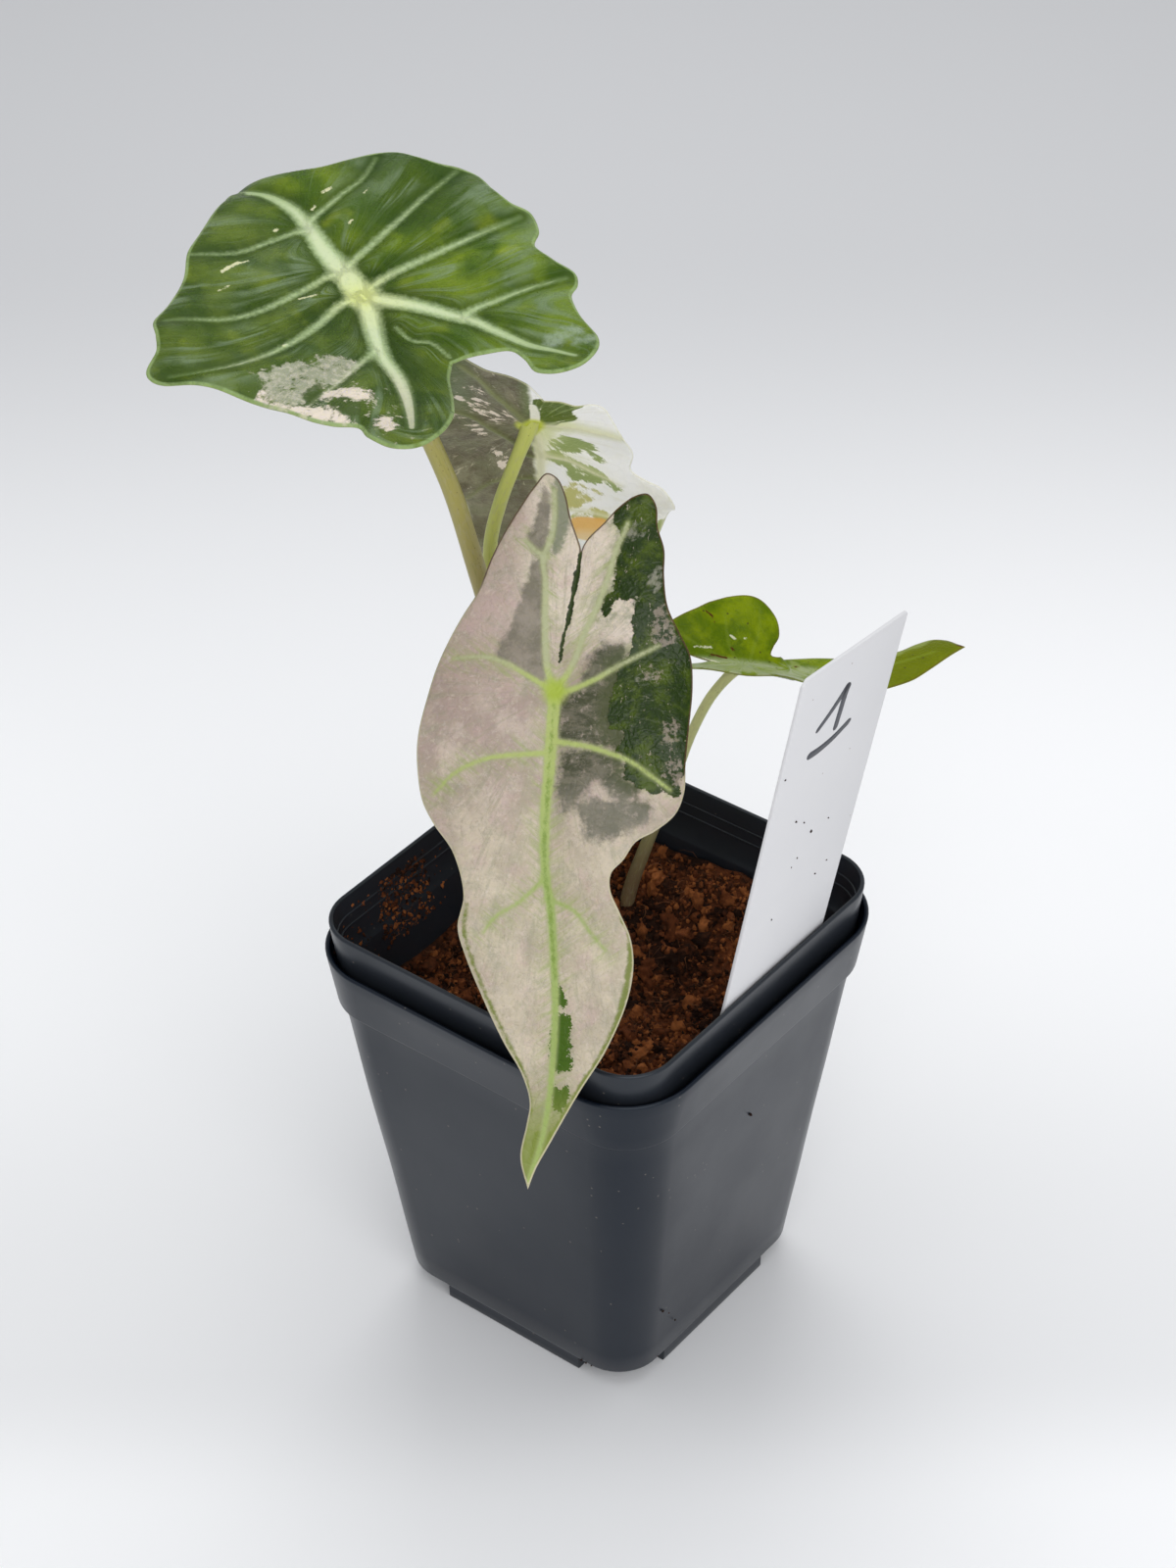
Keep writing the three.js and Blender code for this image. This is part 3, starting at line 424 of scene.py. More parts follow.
# %% The blades' bends
# Places in a blade: the first number runs across the midrib, with the right side positive on the
# upper face, and the second runs along it from the stalk to the tip.
LEAVES = {
    "leaf_1": {
        "node": (-57.2, -7, 255.3), "heading": 165, "curl": 0.002, "ripple": (1, 19, 4, 48),
        "slope": [(-60, -8), (0, 15), (38, 8), (50, -45), (80, -80)],
        "roll": [(-60, -3.4), (0, 2), (60, 7.4)], "left": [(0, 9)], "right": [(0, 9)],
        "right_edge": [
            (0, 70), (2, 60), (4, 50), (7, 44), (14, 39), (22, 36.5), (28, 34.5), (31.5, 32), (34, 28),
            (37, 24), (41, 20.5), (43, 17), (42.5, 11), (43.5, 6), (46.5, 2), (45, -3), (40.5, -7.5),
            (41.5, -13), (44, -18), (42, -21.5), (38, -24.5), (35, -31), (34, -39), (30, -44),
            (23.5, -47), (18, -46), (15, -42.5), (16, -37), (15.5, -33), (11, -30.5), (7, -29),
            (3.5, -28.5)],
        "left_edge": [
            (3.5, -28.5), (0, -32.5), (-4.5, -40), (-9.5, -47), (-17.5, -53.5), (-25, -56), (-29.5, -53),
            (-30.5, -46.5), (-29, -40.5), (-32.5, -37), (-36, -32.5), (-38.5, -26.5), (-40.5, -20),
            (-44, -14), (-48, -9), (-52.5, -4), (-53.5, 1), (-48.5, 5), (-46.5, 8.5), (-44, 13.5),
            (-38, 17), (-31, 22), (-25, 29.5), (-18.5, 34.5), (-10, 41), (-5, 45), (-3, 52), (-1.5, 61),
            (0, 70)],
    },
    "leaf_2": {
        "node": (0.6, -15.6, 181.7), "heading": -58, "curl": 0.009, "ripple": (1.6, 34, 2, 30),
        "slope": [(-60, -44), (0, -48), (60, -54), (120, -60)],
        "roll": [(0, 0)], "left": [(0, 14)], "right": [(0, 14)],
        "right_edge": [
            (0, 108), (2, 101), (1, 94), (0.5, 89), (2.5, 83), (7, 76), (12, 67), (16.5, 58), (18.5, 52),
            (17.5, 45), (20.5, 36), (25.5, 30), (28.5, 25), (29.8, 18.5), (30, 12), (28.8, 4), (27, -4),
            (24.5, -10), (21.5, -15.5), (18.5, -20.5), (16, -28), (13.5, -34), (10.5, -39.5),
            (7.5, -44.5), (5, -47.5), (2.5, -46.5), (0.5, -43), (-1, -38), (-2.9, -33.5), (-3.8, -31),
            (-3.56, -27.7), (-2.77, -21.5), (-2, -15.7), (-1.16, -11.5), (-0.8, -8)],
        "left_edge": [
            (-0.8, -8), (-1.22, -11.6), (-2.06, -15.8), (-2.83, -21.6), (-3.62, -27.7), (-3.95, -31),
            (-5.2, -33.5), (-8.5, -37), (-11.5, -40.5),
            (-15, -43.3), (-18, -44), (-20, -41.5), (-20.6, -37), (-22.4, -32), (-22.8, -26),
            (-24, -19.5), (-27, -14), (-29.5, -9.5), (-30.4, -3), (-30.3, 6), (-30, 14), (-30, 20),
            (-28.3, 25), (-24, 29), (-20, 31.5), (-17.5, 35.5), (-15, 38.5), (-15, 42), (-17.5, 47),
            (-20, 52), (-21, 58), (-20, 66), (-16, 76.5), (-10.5, 86), (-4.5, 97.5), (-1.5, 103.5),
            (0, 108)],
    },
    "leaf_3": {
        "node": (-37.6, 24.9, 214.8), "heading": 126, "curl": 0.006, "ripple": (1.8, 26, 9, 28),
        "slope": [(-50, -48), (0, -58), (60, -70), (110, -78)],
        "roll": [(0, 0)], "left": [(0, 8)], "right": [(0, 8)],
        "right_edge": [
            (0, 98), (4, 91), (10, 82), (17, 71), (23, 61), (27, 52), (30, 44), (32, 36), (32.5, 29),
            (30, 24.8), (25.5, 23.2), (22.5, 21), (23, 16), (22, 9.5), (20.5, 3), (18.5, -3),
            (16.5, -7.5), (14, -9), (10.5, -8.5), (7, -11), (3.5, -12)],
        "left_edge": [
            (3.5, -12), (2, -16.5), (0, -21.5), (-3.6, -25.5), (-8, -28), (-11, -31.5), (-14, -35.5),
            (-16.5, -36.5), (-18.5, -34), (-20.5, -28), (-22.5, -20), (-25, -12), (-26.5, -4),
            (-27, 3), (-25, 11), (-22, 19), (-18.5, 28), (-16.5, 38), (-15.5, 48), (-13.5, 59),
            (-11, 71), (-7, 83), (-3, 92), (0, 98)],
    },
    "leaf_4": {
        "node": (10.8, 40, 161.8), "heading": 50, "curl": 0, "ripple": (0.5, 17, 0, 14),
        "slope": [(-20, -10), (8, -18), (22, -10), (35, 6), (55, 10)], "roll": [(0, 0)],
        "left": [(-20, 44), (9.5, 48), (11.5, -4), (60, -14)],
        "right": [(-20, 28), (10, 28), (24, 20), (40, -8), (60, -10)],
        "right_edge": [
            (0, 54), (1.6, 50), (4, 45), (6.8, 39), (8.6, 33), (10.6, 27), (12.4, 20), (14, 13),
            (14.5, 6), (14, 0), (12.5, -6), (11, -12), (9, -17.5), (6, -19.5), (3.5, -16.5),
            (1.8, -11.5), (0, -8)],
        "left_edge": [
            (0, -8), (-2, -12.5), (-4, -17), (-6.5, -19.5), (-9, -18.5), (-11.2, -15), (-13.5, -10.5),
            (-15.8, -7), (-17.5, -3), (-17.3, 1.5), (-15.5, 5.5), (-12.5, 8.5), (-9, 9.2), (-6, 7.8),
            (-4, 7.4), (-4, 10.5), (-5, 14), (-6, 20), (-6, 27), (-5.4, 34), (-5, 39.5), (-6.8, 44.5),
            (-7.2, 48), (-4.8, 51), (-2, 52.6), (0, 54)],
    },
}


# The table of a blade's climb: how far it reaches along the blade, and its step
CLIMB_REACH, CLIMB_STEP = 120, 0.5
FOLD_WIDTH = 3


def knot_value(table, place):
    return np.interp(place, [knot[0] for knot in table], [knot[1] for knot in table])


def blade_surface(leaf):
    """The blade's middle surface as a function of arrays of places across and along it."""
    v = np.arange(-CLIMB_REACH, CLIMB_REACH + CLIMB_STEP, CLIMB_STEP)
    slope = np.radians(knot_value(leaf["slope"], v))
    climb = {}
    for key, run in (("along", np.cos(slope)), ("up", np.sin(slope))):
        total = np.concatenate([[0], np.cumsum(CLIMB_STEP / 2 * (run[1:] + run[:-1]))])
        climb[key] = total - np.interp(0, v, total)
    heading = math.radians(leaf["heading"])
    forward = np.array([math.cos(heading), math.sin(heading), 0])
    skyward = np.array([0, 0, 1.0])
    level = np.cross(forward, skyward)
    height, length, shift, width = leaf["ripple"]

    def place(across, along):
        tilt = np.interp(along, v, slope)[:, None]
        roll = np.radians(knot_value(leaf["roll"], along))[:, None]
        sides = [knot_value(leaf[side], along) for side in ("left", "right")]
        rise = np.radians(np.where(across < 0, *sides))[:, None]
        normal = -np.sin(tilt) * forward + np.cos(tilt) * skyward
        outward = np.cos(roll) * level + np.sin(roll) * normal
        upward = -np.sin(roll) * level + np.cos(roll) * normal
        u = across[:, None]
        wave = height * (u / width) ** 2 * np.sin(2 * np.pi * (along[:, None] - shift) / length)
        lift = (np.hypot(u, FOLD_WIDTH) - FOLD_WIDTH) * np.sin(rise) - leaf["curl"] * u**2 + wave
        return (np.array(leaf["node"]) + np.interp(along, v, climb["along"])[:, None] * forward
                + np.interp(along, v, climb["up"])[:, None] * skyward
                + u * np.cos(rise) * outward + lift * upward)

    return place


def surface_normals(surface, u, v):
    reach = 0.5
    across = surface(u + reach, v) - surface(u - reach, v)
    along = surface(u, v + reach) - surface(u, v - reach)
    normal = np.cross(across, along)
    return normal / np.linalg.norm(normal, axis=1)[:, None]


# %% The blades' nets
EDGE_STEP = 0.55
NET_STEP = 0.62


def blade_net(leaf):
    """Places and triangles that fill a blade's outline."""
    halves = [smooth_path(leaf[side], EDGE_STEP)[:-1] for side in ("right_edge", "left_edge")]
    outline = np.vstack(halves)[::-1]
    low, high = outline.min(axis=0), outline.max(axis=0)
    row = NET_STEP * math.sqrt(3) / 2
    j, i = np.mgrid[0:int((high[1] - low[1]) / row), 0:int((high[0] - low[0]) / NET_STEP)]
    field = np.column_stack([
        (low[0] + (i + (j % 2) / 2 + 0.25) * NET_STEP).ravel(), (low[1] + (j + 0.5) * row).ravel()])
    field = field[is_inside(field, outline)]
    closed = np.vstack([outline, outline[:1]])
    field = field[distance_to_path(field, closed) > 0.5 * NET_STEP]
    corners = [Vector(point) for point in np.vstack([outline, field])]
    filled = delaunay_2d_cdt(corners, [], [list(range(len(outline)))], 1, 1e-6)
    points = np.array([tuple(point) for point in filled[0]])
    return points, np.array(filled[2]), closed


nets = {name: blade_net(leaf) for name, leaf in LEAVES.items()}
for name, (points, faces, _) in nets.items():
    print(f"{name}: {len(points)} places, {len(faces)} triangles a face")

# %% [markdown]
# ### Veins and patches
# Each vein is a path with a half width at either end, numbered round the blade, so that streaks can
# run alongside the nearest veins. Each patch of colour is an outline. These were drawn on the blade
# like a stencil.

# %% Veins: order round the blade, half widths at the two ends, path
VEINS = {
    "leaf_1": [
        (0, 3.3, 0.55, [(0, 0), (0.6, 8), (1, 16), (2.2, 23), (2.8, 30), (1.4, 37), (-1, 42)]),
        (0, 0.35, 0.1, [(-1, 42), (-1.5, 52), (-1, 62)]),
        (3, 0.8, 0.2, [(0, 0), (6.6, 1.6), (20.9, 1.6), (30.6, 1.8), (43.5, 2)]),
        (2, 0.6, 0.12, [(0.6, 8), (3.9, 9.4), (12.5, 11.9), (20.5, 14.4), (28.8, 17.2), (39.4, 20.3)]),
        (1, 0.45, 0.1, [(2.2, 24), (4.3, 25.5), (9.6, 26.8), (14.2, 27.9), (20.8, 29.3), (26.6, 32.9)]),
        (5, 2.1, 0.55, [(0, 0), (3.5, -3.9), (7.7, -8.6), (12.2, -15.4), (15.2, -19.9), (17, -26),
                       (19.5, -33.7), (23.1, -39), (25, -43)]),
        (4, 0.7, 0.15, [(14, -18), (16.8, -17), (23.3, -17.4), (29.5, -17.5), (41, -18.6)]),
        (-5, 2.6, 0.6, [(0, 0), (-1.6, -5.1), (-5.5, -13.3), (-8.1, -19.7), (-9.8, -27.3),
                        (-13.3, -35.7), (-18.4, -44.5), (-20.8, -48.2)]),
        (-4, 0.5, 0.15, [(-8, -17), (-13.3, -19.3), (-18.6, -21.7), (-24.9, -24.8), (-33, -28.5)]),
        (-3, 0.8, 0.12, [(0, 0), (-6, -0.7), (-13.9, -4.2), (-21.8, -6.8), (-28.6, -8.1),
                        (-37.3, -7.8), (-44.5, -5.4), (-50, -2.5)]),
        (-2, 0.55, 0.12, [(0.6, 8), (-3, 8.3), (-9.6, 6.7), (-16.5, 5.5), (-23.7, 4.7), (-31.3, 5.8),
                        (-42, 12)]),
        (-1, 0.4, 0.1, [(2, 23), (-1, 24.1), (-7.2, 23.9), (-16.5, 23.8), (-25, 28)]),
        (5.5, 0.02, 0.02, [(0.6, -12), (0.9, -17.4), (3.7, -20.4), (4.1, -26.7)]),
    ],
    "leaf_2": [
        (0, 1.25, 0.8, [(0, 0), (0.1, 9.1), (0.2, 18.6), (0.5, 24.4), (0.3, 32.9), (-0.4, 40.2)]),
        (0, 0.8, 0.3, [(-0.4, 40.2), (-2, 46.9), (-3.1, 55.9), (-4.2, 69.4), (-4.2, 80.8),
                        (-3.7, 89.4), (-2.4, 98.1), (0, 106.3)]),
        (5, 0.55, 0.2, [(0, 0), (2, -5), (3.1, -14.5), (3.7, -24), (4.5, -28.7), (2.9, -33.7),
                       (2.6, -39.5), (3.1, -43.8)]),
        (4, 0.35, 0.15, [(4, -28.8), (6.6, -30.5), (8.6, -32.3)]),
        (-5, 0.5, 0.2, [(0, 0), (-3.4, -5.3), (-5.9, -13), (-8.4, -18.8), (-10.5, -25.5),
                        (-11.6, -30.4), (-14, -37.3)]),
        (3, 0.45, 0.08, [(0, 0), (2.7, -1.2), (7.7, -3.7), (11.2, -5.4), (16.3, -6.6), (23.2, -5.9)]),
        (2, 0.42, 0.08, [(0.2, 13), (1.8, 13.5), (8.9, 14.4), (14.7, 15.6), (21, 18.8), (25.8, 23.7)]),
        (-3, 0.45, 0.08, [(0, 0), (-2.3, 0), (-5.2, -1.1), (-9.4, -3.2), (-13.2, -5.7), (-22.5, -11.1)]),
        (-2, 0.42, 0.1, [(0.1, 10.5), (-1.5, 10.9), (-8, 11.6), (-12.9, 12.8), (-17.9, 14.4),
                          (-22.9, 17.4), (-26.8, 19.9)]),
        (1, 0.25, 0.05, [(0, 40.5), (0.7, 41.4), (5.6, 46.2), (10.1, 49.2), (12.8, 52.8)]),
        (-1, 0.25, 0.05, [(-1, 44.5), (-2.5, 45.2), (-7.4, 47.1), (-11.1, 51.4), (-14.8, 55.2)]),
    ],
    "leaf_3": [
        (0, 1.1, 0.4, [(0, 0), (1.3, 4.7), (1.9, 13.1), (1.6, 22), (1, 42), (0.5, 58), (0, 90)]),
        (-5, 1.0, 0.4, [(-0.4, -0.5), (-3.3, -7.2), (-7.6, -15.8), (-10.2, -23.9), (-14, -31)]),
        (-3, 0.6, 0.25, [(1.4, 14.5), (-1.4, 13.9), (-3.9, 8.5), (-9.6, 1), (-13.3, -3.8), (-22, -8)]),
        (-2, 0.5, 0.2, [(1.6, 24), (-4, 25), (-10, 27), (-16, 34)]),
        (3, 0.6, 0.2, [(1.6, 11), (1.9, 12.3), (3, 14), (8.1, 17.1), (13.7, 22.3), (20.5, 26.3)]),
        (5, 0.7, 0.25, [(0.3, 0.3), (3.9, -0.3), (8.6, 0.7), (14, 2.5), (20, 4)]),
        (2, 0.5, 0.2, [(1.3, 34), (6, 38), (14, 41), (24, 46)]),
    ],
    "leaf_4": [
        (0, 0.9, 0.25, [(0, 0), (0, 12), (0, 24), (0, 36), (-1, 47)]),
        (-3, 0.4, 0.12, [(0, 0), (-1, -1), (-6, -3), (-14, -4)]),
        (-5, 0.5, 0.15, [(0, 0), (-1, -3), (-4, -9), (-7.5, -15)]),
        (-2, 0.35, 0.12, [(0, 2), (-4, 2.6), (-9, 4), (-14, 4)]),
        (5, 0.5, 0.15, [(0, 0), (1, -2), (4, -9), (7, -15.5)]),
        (3, 0.45, 0.12, [(0, 1), (1, 3), (7, 5), (12, 8)]),
        (2, 0.35, 0.12, [(0, 12), (5, 16), (10, 21)]),
        (1, 0.3, 0.1, [(0, 24), (4, 29), (7.5, 34)]),
        (-1, 0.3, 0.1, [(0, 18), (-3, 22), (-5, 27)]),
    ],
}

# %% Patches of colour, as outlines on the blades
PATCHES = {
    "leaf_1": {
        "grey": [[
            (-34.8, -13.9), (-31.3, -14), (-25.9, -14.9), (-25.5, -17.7), (-21, -15.5), (-16.9, -17.5),
            (-14.7, -19.6), (-20, -22), (-24.7, -23.6), (-30.2, -24.8), (-34.2, -27.3), (-37.4, -24.1),
            (-37.1, -20.2)]],
        "pink": [[
            (-37.5, -18.9), (-37.8, -22.1), (-36.7, -26.6), (-33.2, -29.3), (-30.4, -32.9),
            (-29, -37.8), (-29, -40.4), (-32.4, -39.7), (-38.9, -34), (-41.7, -27.4), (-40.5, -21.2)],
            [(-28.5, -27.5), (-25.5, -25.6), (-22.6, -27.5), (-20.7, -30.8), (-22.4, -34.2),
             (-25, -32.8), (-26.1, -30.1), (-29.1, -30.1)],
            [(-25.1, -42.4), (-22.9, -42.6), (-23.6, -47.1), (-26.5, -48.9), (-27.4, -46.7)]],
        "dark": [
            [(-29.2, -31.1), (-26, -30.7), (-24.6, -34), (-25.9, -37.5), (-28.1, -37.3), (-29.6, -34.3)],
            [(-32.6, -25.7), (-28.1, -22.4), (-25.3, -21.9), (-28.7, -26), (-32.4, -28)]],
    },
    "leaf_2": {
        "dark": [[
            (-10.8, -38.8), (-12.9, -32.9), (-11.8, -27.5), (-11.8, -23.2), (-9.8, -20.3), (-9.8, -16),
            (-11.3, -17), (-12.8, -20.4), (-15.7, -20), (-18, -21.8), (-16.5, -18.2), (-16.9, -12.1),
            (-16.3, -9.2), (-15, -7.3), (-12.4, -5.9), (-13.4, -5.3), (-13.6, -2.9), (-12.4, 1.4),
            (-12.2, 5.3), (-12.8, 7.6), (-16.8, 8.8), (-14.6, 11.7), (-16.7, 14.4), (-16.9, 17.7),
            (-19.6, 19.4), (-23.5, 21.1), (-25.9, 20.7), (-28.3, 21.2), (-28.9, 18.8), (-29.8, 16),
            (-33, 10), (-34, 0), (-33, -20), (-26, -46), (-16, -48)]],
        "fleck": [
            [(-4.4, 63.1), (-5.7, 64.8), (-6.9, 66.4), (-6.1, 67.7), (-4.7, 67.5)],
            [(-4.4, 69.8), (-7.4, 69.4), (-8.1, 73.1), (-7.7, 74.8), (-8.5, 76.7), (-7.3, 77.7),
             (-8.6, 78.7), (-8.3, 81), (-4.8, 81.6)],
            [(-4.1, 84.8), (-5.9, 85.5), (-7.3, 84.5), (-8.6, 86.7), (-7.6, 89.1), (-6.2, 90.9),
             (-4.6, 89.3)]],
        "grey": [
            [(5.6, -45.1), (5.9, -42.1), (7, -36.8), (8.2, -32.3), (6.5, -29.1), (4.5, -28.7),
             (3.8, -33.6), (4, -42.3)],
            [(6.4, -28.6), (7.6, -24.7), (9.2, -18.8), (10.8, -13), (13, -9.1), (12.8, -6.3),
             (9.2, -4.6), (4.7, -2), (2.7, -2.1), (3.6, -14.4), (4.3, -28.8)]],
        "moss": [
            [(-2.6, 13.2), (-9, 12.2), (-15.9, 13.6), (-16.8, 17.2), (-21, 19.3), (-19.2, 21.8),
             (-16.4, 22.9), (-13.4, 21.2), (-10.4, 19), (-8.1, 22.4), (-5.8, 24.4), (-3.4, 26.3)],
            [(-1.3, 24.3), (-6, 25.2), (-7.9, 27.4), (-8.8, 31.3), (-13.4, 31.6), (-18.5, 29),
             (-22.4, 26.5), (-22.2, 23.2)],
            [(-5.6, -1.3), (-6.8, -6.4), (-9, -9.3), (-11.6, -10.9), (-15.3, -9.8), (-15.2, -5.7),
             (-9.4, -2.1)],
            [(-1.4, 2.4), (-6.2, -1.6), (-12.3, -5.3), (-15.4, -4.9), (-15.2, 1.5), (-15.3, 6.2),
             (-17.6, 8.9), (-14.7, 12), (-7.8, 11.2), (-1.4, 10.5)]],
        "sage": [[
            (2.9, -47.2), (0.7, -44), (-0.9, -38.7), (-0.8, -36.3), (0.4, -32.4), (2.1, -29.4),
            (2.9, -33.7), (2.9, -40.9)]],
        "blush": [
            [(-19.5, -5), (-21.4, -5.6), (-23.4, -4.8), (-22, -3.7), (-20.1, -3.8)],
            [(-24.7, 7.4), (-26.5, 5.4), (-27.5, 6.2), (-27, 9.6), (-25.4, 10.7)],
            [(-26.1, 13.9), (-27.9, 12.8), (-29.3, 15.6), (-28.5, 18.9), (-26.7, 16.2), (-25.3, 17.2)],
            [(-22.1, -19.5), (-23.6, -18.6), (-25.3, -12.3), (-22, -11.1), (-20.9, -13.8)]],
        "gloss": [
            [(-16.2, -42.3), (-18.5, -43.9), (-20.5, -43.1), (-20.6, -38.2), (-17.5, -35.6), (-15.1, -35.9)],
            [(-13.5, -36), (-15.2, -33), (-15.6, -27), (-13.4, -22), (-12.6, -28)],
            [(-19.5, -31), (-21, -27), (-20.2, -22), (-18.8, -26)],
            [(-19, -3), (-22, -6), (-24.5, -4), (-22, 0)]],
    },
    "leaf_3": {
        "leafy": [
            [(3.8, 7.3), (8, 6.2), (12, 9.3), (15.2, 16.5), (16, 19.2), (13.6, 18.2), (11.2, 14.6),
             (7.8, 13.2), (4.5, 10.3)],
            [(1, 10.4), (4, 12.6), (10.3, 18.4), (14.3, 21.6), (20, 28), (18.5, 29), (14, 25.2), (9.5, 22.2),
             (4, 17), (1, 14)],
            [(8.2, 22.6), (12, 23.4), (19.5, 27.6), (14, 27), (8.6, 25)],
            [(28, 44.5), (31.5, 43), (31, 46.5), (28.5, 47)]],
        "ochre": [
            [(6.6, 28.4), (9.5, 27.6), (12.7, 29.6), (15.9, 32.5), (14.2, 35.1), (11.8, 36.5),
             (9.3, 38.4), (7.6, 37.1)],
            [(8.4, 41), (12.9, 39), (17.8, 41.8), (16.6, 44.2), (12.9, 42.8), (8.5, 43.6)]],
        "orange": [[(8.3, 43.2), (12.9, 42.8), (16.6, 44.2), (13.2, 51.9), (9, 50.9)]],
        "flap": [[
            (1.4, -13.4), (3.9, -13), (7.7, -11.9), (12, -8.6), (9.4, -6.2), (10.6, -2.6), (6.2, -0.6),
            (3.9, 0.1), (2, -1.3)]],
        "white": [[(0.3, -10.8), (1.3, -10.3), (2.3, -4.8), (1.7, -0.5), (0.4, -0.5), (0.2, -5.8)]],
        "shade": [[(23.3, 22.2), (27.8, 24.6), (32.2, 25.1), (31.8, 39.9), (29.8, 44.7), (27, 36)]],
    },
    "leaf_4": {
        "pale": [
            [(-2.8, 38.6), (-4.3, 42), (-4.7, 45.6), (-7.9, 48.5), (-8.5, 44), (-5.5, 38)],
            [(-4, 13.1), (-2.4, 14.7), (2, 15.2), (4.8, 14.5), (8.2, 3.9), (5, 6), (1, 12)]],
        "yellow": [[(-2.3, -0.6), (0.3, -1.2), (1.4, 0.6), (-0.4, 1.8), (-2.2, 1)]],
    },
}

# %% Short strokes of colour on the blades: half width, path
STROKES = {
    "leaf_1": {"cream": [
        (0.45, [(-23.5, 18.6), (-18.5, 19.9)]), (0.3, [(-21.8, 19.4), (-16.4, 19.3)]),
        (0.3, [(-13.4, 4.3), (-9.2, 3.6)]), (0.35, [(10.5, 30.4), (12.8, 30.5)]),
        (0.3, [(6, 27.9), (7, 28.3)]), (0.3, [(-5.1, 26.3), (-4, 26.4)]),
        (0.35, [(-24.9, -7.1), (-24, -7)]), (0.35, [(9.6, 18.6), (10.4, 18.8)]),
        (0.25, [(-28, 13), (-25, 13.4)]), (0.2, [(17.4, 24.5), (19, 25.2)])],
        "sheen": [(1.4, [(24, -36), (30, -36.5)]), (0.8, [(28, -39.5), (32.5, -40)])],
        "lime": [(1.4, [(33.5, 3.4), (36.4, 3.2)]), (1.1, [(32, -6.9), (35, -7.4)]),
                 (0.9, [(6, 22.4), (8, 23)]), (0.8, [(24, 6.5), (27, 7.2)])]},
    "leaf_2": {
        "slit_shadow": [(0.4, [(-3.9, -30.5), (-3.6, -27.7), (-2.8, -21.5), (-2, -15.7), (-1.1, -11.5),
                        (-0.7, -6.5)]),
                 (0.7, [(-3.4, -26), (-2.9, -22)]), (0.6, [(-2.6, -19.5), (-1.9, -14.5)])],
        "hem": [(0.75, [(-17.9, 47.6), (-19.6, 50.2), (-20.4, 54.8), (-20, 60), (-18.6, 68.5),
                        (-15.4, 77.1), (-10, 86.4), (-5.8, 94.5), (-2.3, 100), (-0.6, 106)]),
                (0.4, [(16.6, 47), (17, 52), (15.6, 57), (11.4, 66), (6, 76), (1.5, 84), (0.1, 92)]),
                (0.9, [(-1.6, 96), (-0.6, 104)])],
        "core": [(0.2, [(0, 3), (0.2, 12), (0.3, 20), (0.2, 26)]),
                 (0.3, [(0.2, 26), (0.3, 32.9), (-0.4, 40.2), (-1.8, 46.9), (-3, 55.9), (-3.9, 62)])]},
    "leaf_3": {"milk": [
        (0.6, [(-10.7, -15.4), (-12, -19)]), (0.9, [(-12.9, -10.1), (-9.8, -5.4), (-6.7, -1.6)]),
        (0.7, [(-13.4, -0.1), (-12.2, 2.1), (-10.9, 4.4)]), (0.7, [(-8.2, 13.3), (-7.3, 17), (-6.9, 21.1)]),
        (0.5, [(-16, -14), (-14.5, -10.5)]), (0.4, [(-18.5, -6), (-16.4, -2.5)]),
        (0.5, [(-5.2, -6), (-3.6, -2.6)]), (0.4, [(-11.5, -12.5), (-9.4, -8.6)])]},
    "leaf_4": {
        "rust": [(0.5, [(-1.2, 52.6), (0, 54)]), (0.35, [(-2.4, -7.3), (-1.6, -3.6)]),
                 (0.25, [(-13, -8.4), (-12.1, -6.9)]),
                 (0.3, [(-4.8, -2.4), (-4, -1.8)]), (0.3, [(-1.2, 13.4), (-1.2, 14.2)]),
                 (0.25, [(-11.4, -6.8), (-10.8, -6.4)])],
        "cream": [(0.25, [(-4.3, -11.4), (-4.4, -7)]), (0.3, [(-1.4, -11.6), (-0.6, -8.8), (0.8, -6)]),
                  (0.3, [(-7.7, -2.5), (-7, -1.5)]), (0.25, [(-7.4, 0.7), (-7.3, 1.1)])]},
}
print("Veins:", sum(map(len, VEINS.values())), "Patches:",
      sum(len(outlines) for leaf in PATCHES.values() for outlines in leaf.values()))

# %% Blades
BLADE_THICK, MARGIN_SHARE, MARGIN_TAPER = 0.5, 0.35, 0.8
# Over this width the swelling dies away towards the margin, and over this length the ribs grow weaker
MARGIN_FADE, RIB_FADE = 5, 75
# How far each blade swells between its veins, how far from a vein the swelling is full, and how
# far the ribs stand out underneath
SWELL = {"leaf_1": (1.5, 3.6, 0.9), "leaf_2": (0.5, 4.0, 0.8), "leaf_3": (0.4, 4.5, 0.8),
         "leaf_4": (0.25, 3.0, 0.6)}
# A small number runs neighbouring veins together in a wide web
WEB = {"leaf_1": 1.6, "leaf_2": 3.5, "leaf_3": 3.0, "leaf_4": 4.0}
undersides = {}


def blade_fields(name, points, closed):
    """Distances to veins, margin and patches, and the run of the nearest veins."""
    fields = {"rim": distance_to_path(points, closed)}
    webbed, weight, order = 0, 0, 0
    far, close, sharpness = 60, 0.2, 2.5
    for place, start, end, path in VEINS[name]:
        to_vein = distance_to_path(points, smooth_path(path, 1.0), start, end)
        webbed = webbed + np.exp(-WEB[name] * np.minimum(to_vein, far))
        near = 1 / (np.maximum(to_vein + 0.5 * (start + end), close) ** sharpness)
        weight, order = weight + near, order + near * place
    fields["vein"] = -np.log(webbed) / WEB[name]
    order = order / weight
    for label, outlines in PATCHES[name].items():
        fields[label] = np.max([depth_in_patch(points, outline) for outline in outlines], axis=0)
    for label, strokes in STROKES[name].items():
        fields[label] = -np.min([distance_to_path(points, smooth_path(path, 1.0), width, width)
                                 for width, path in strokes], axis=0)
    return fields, order


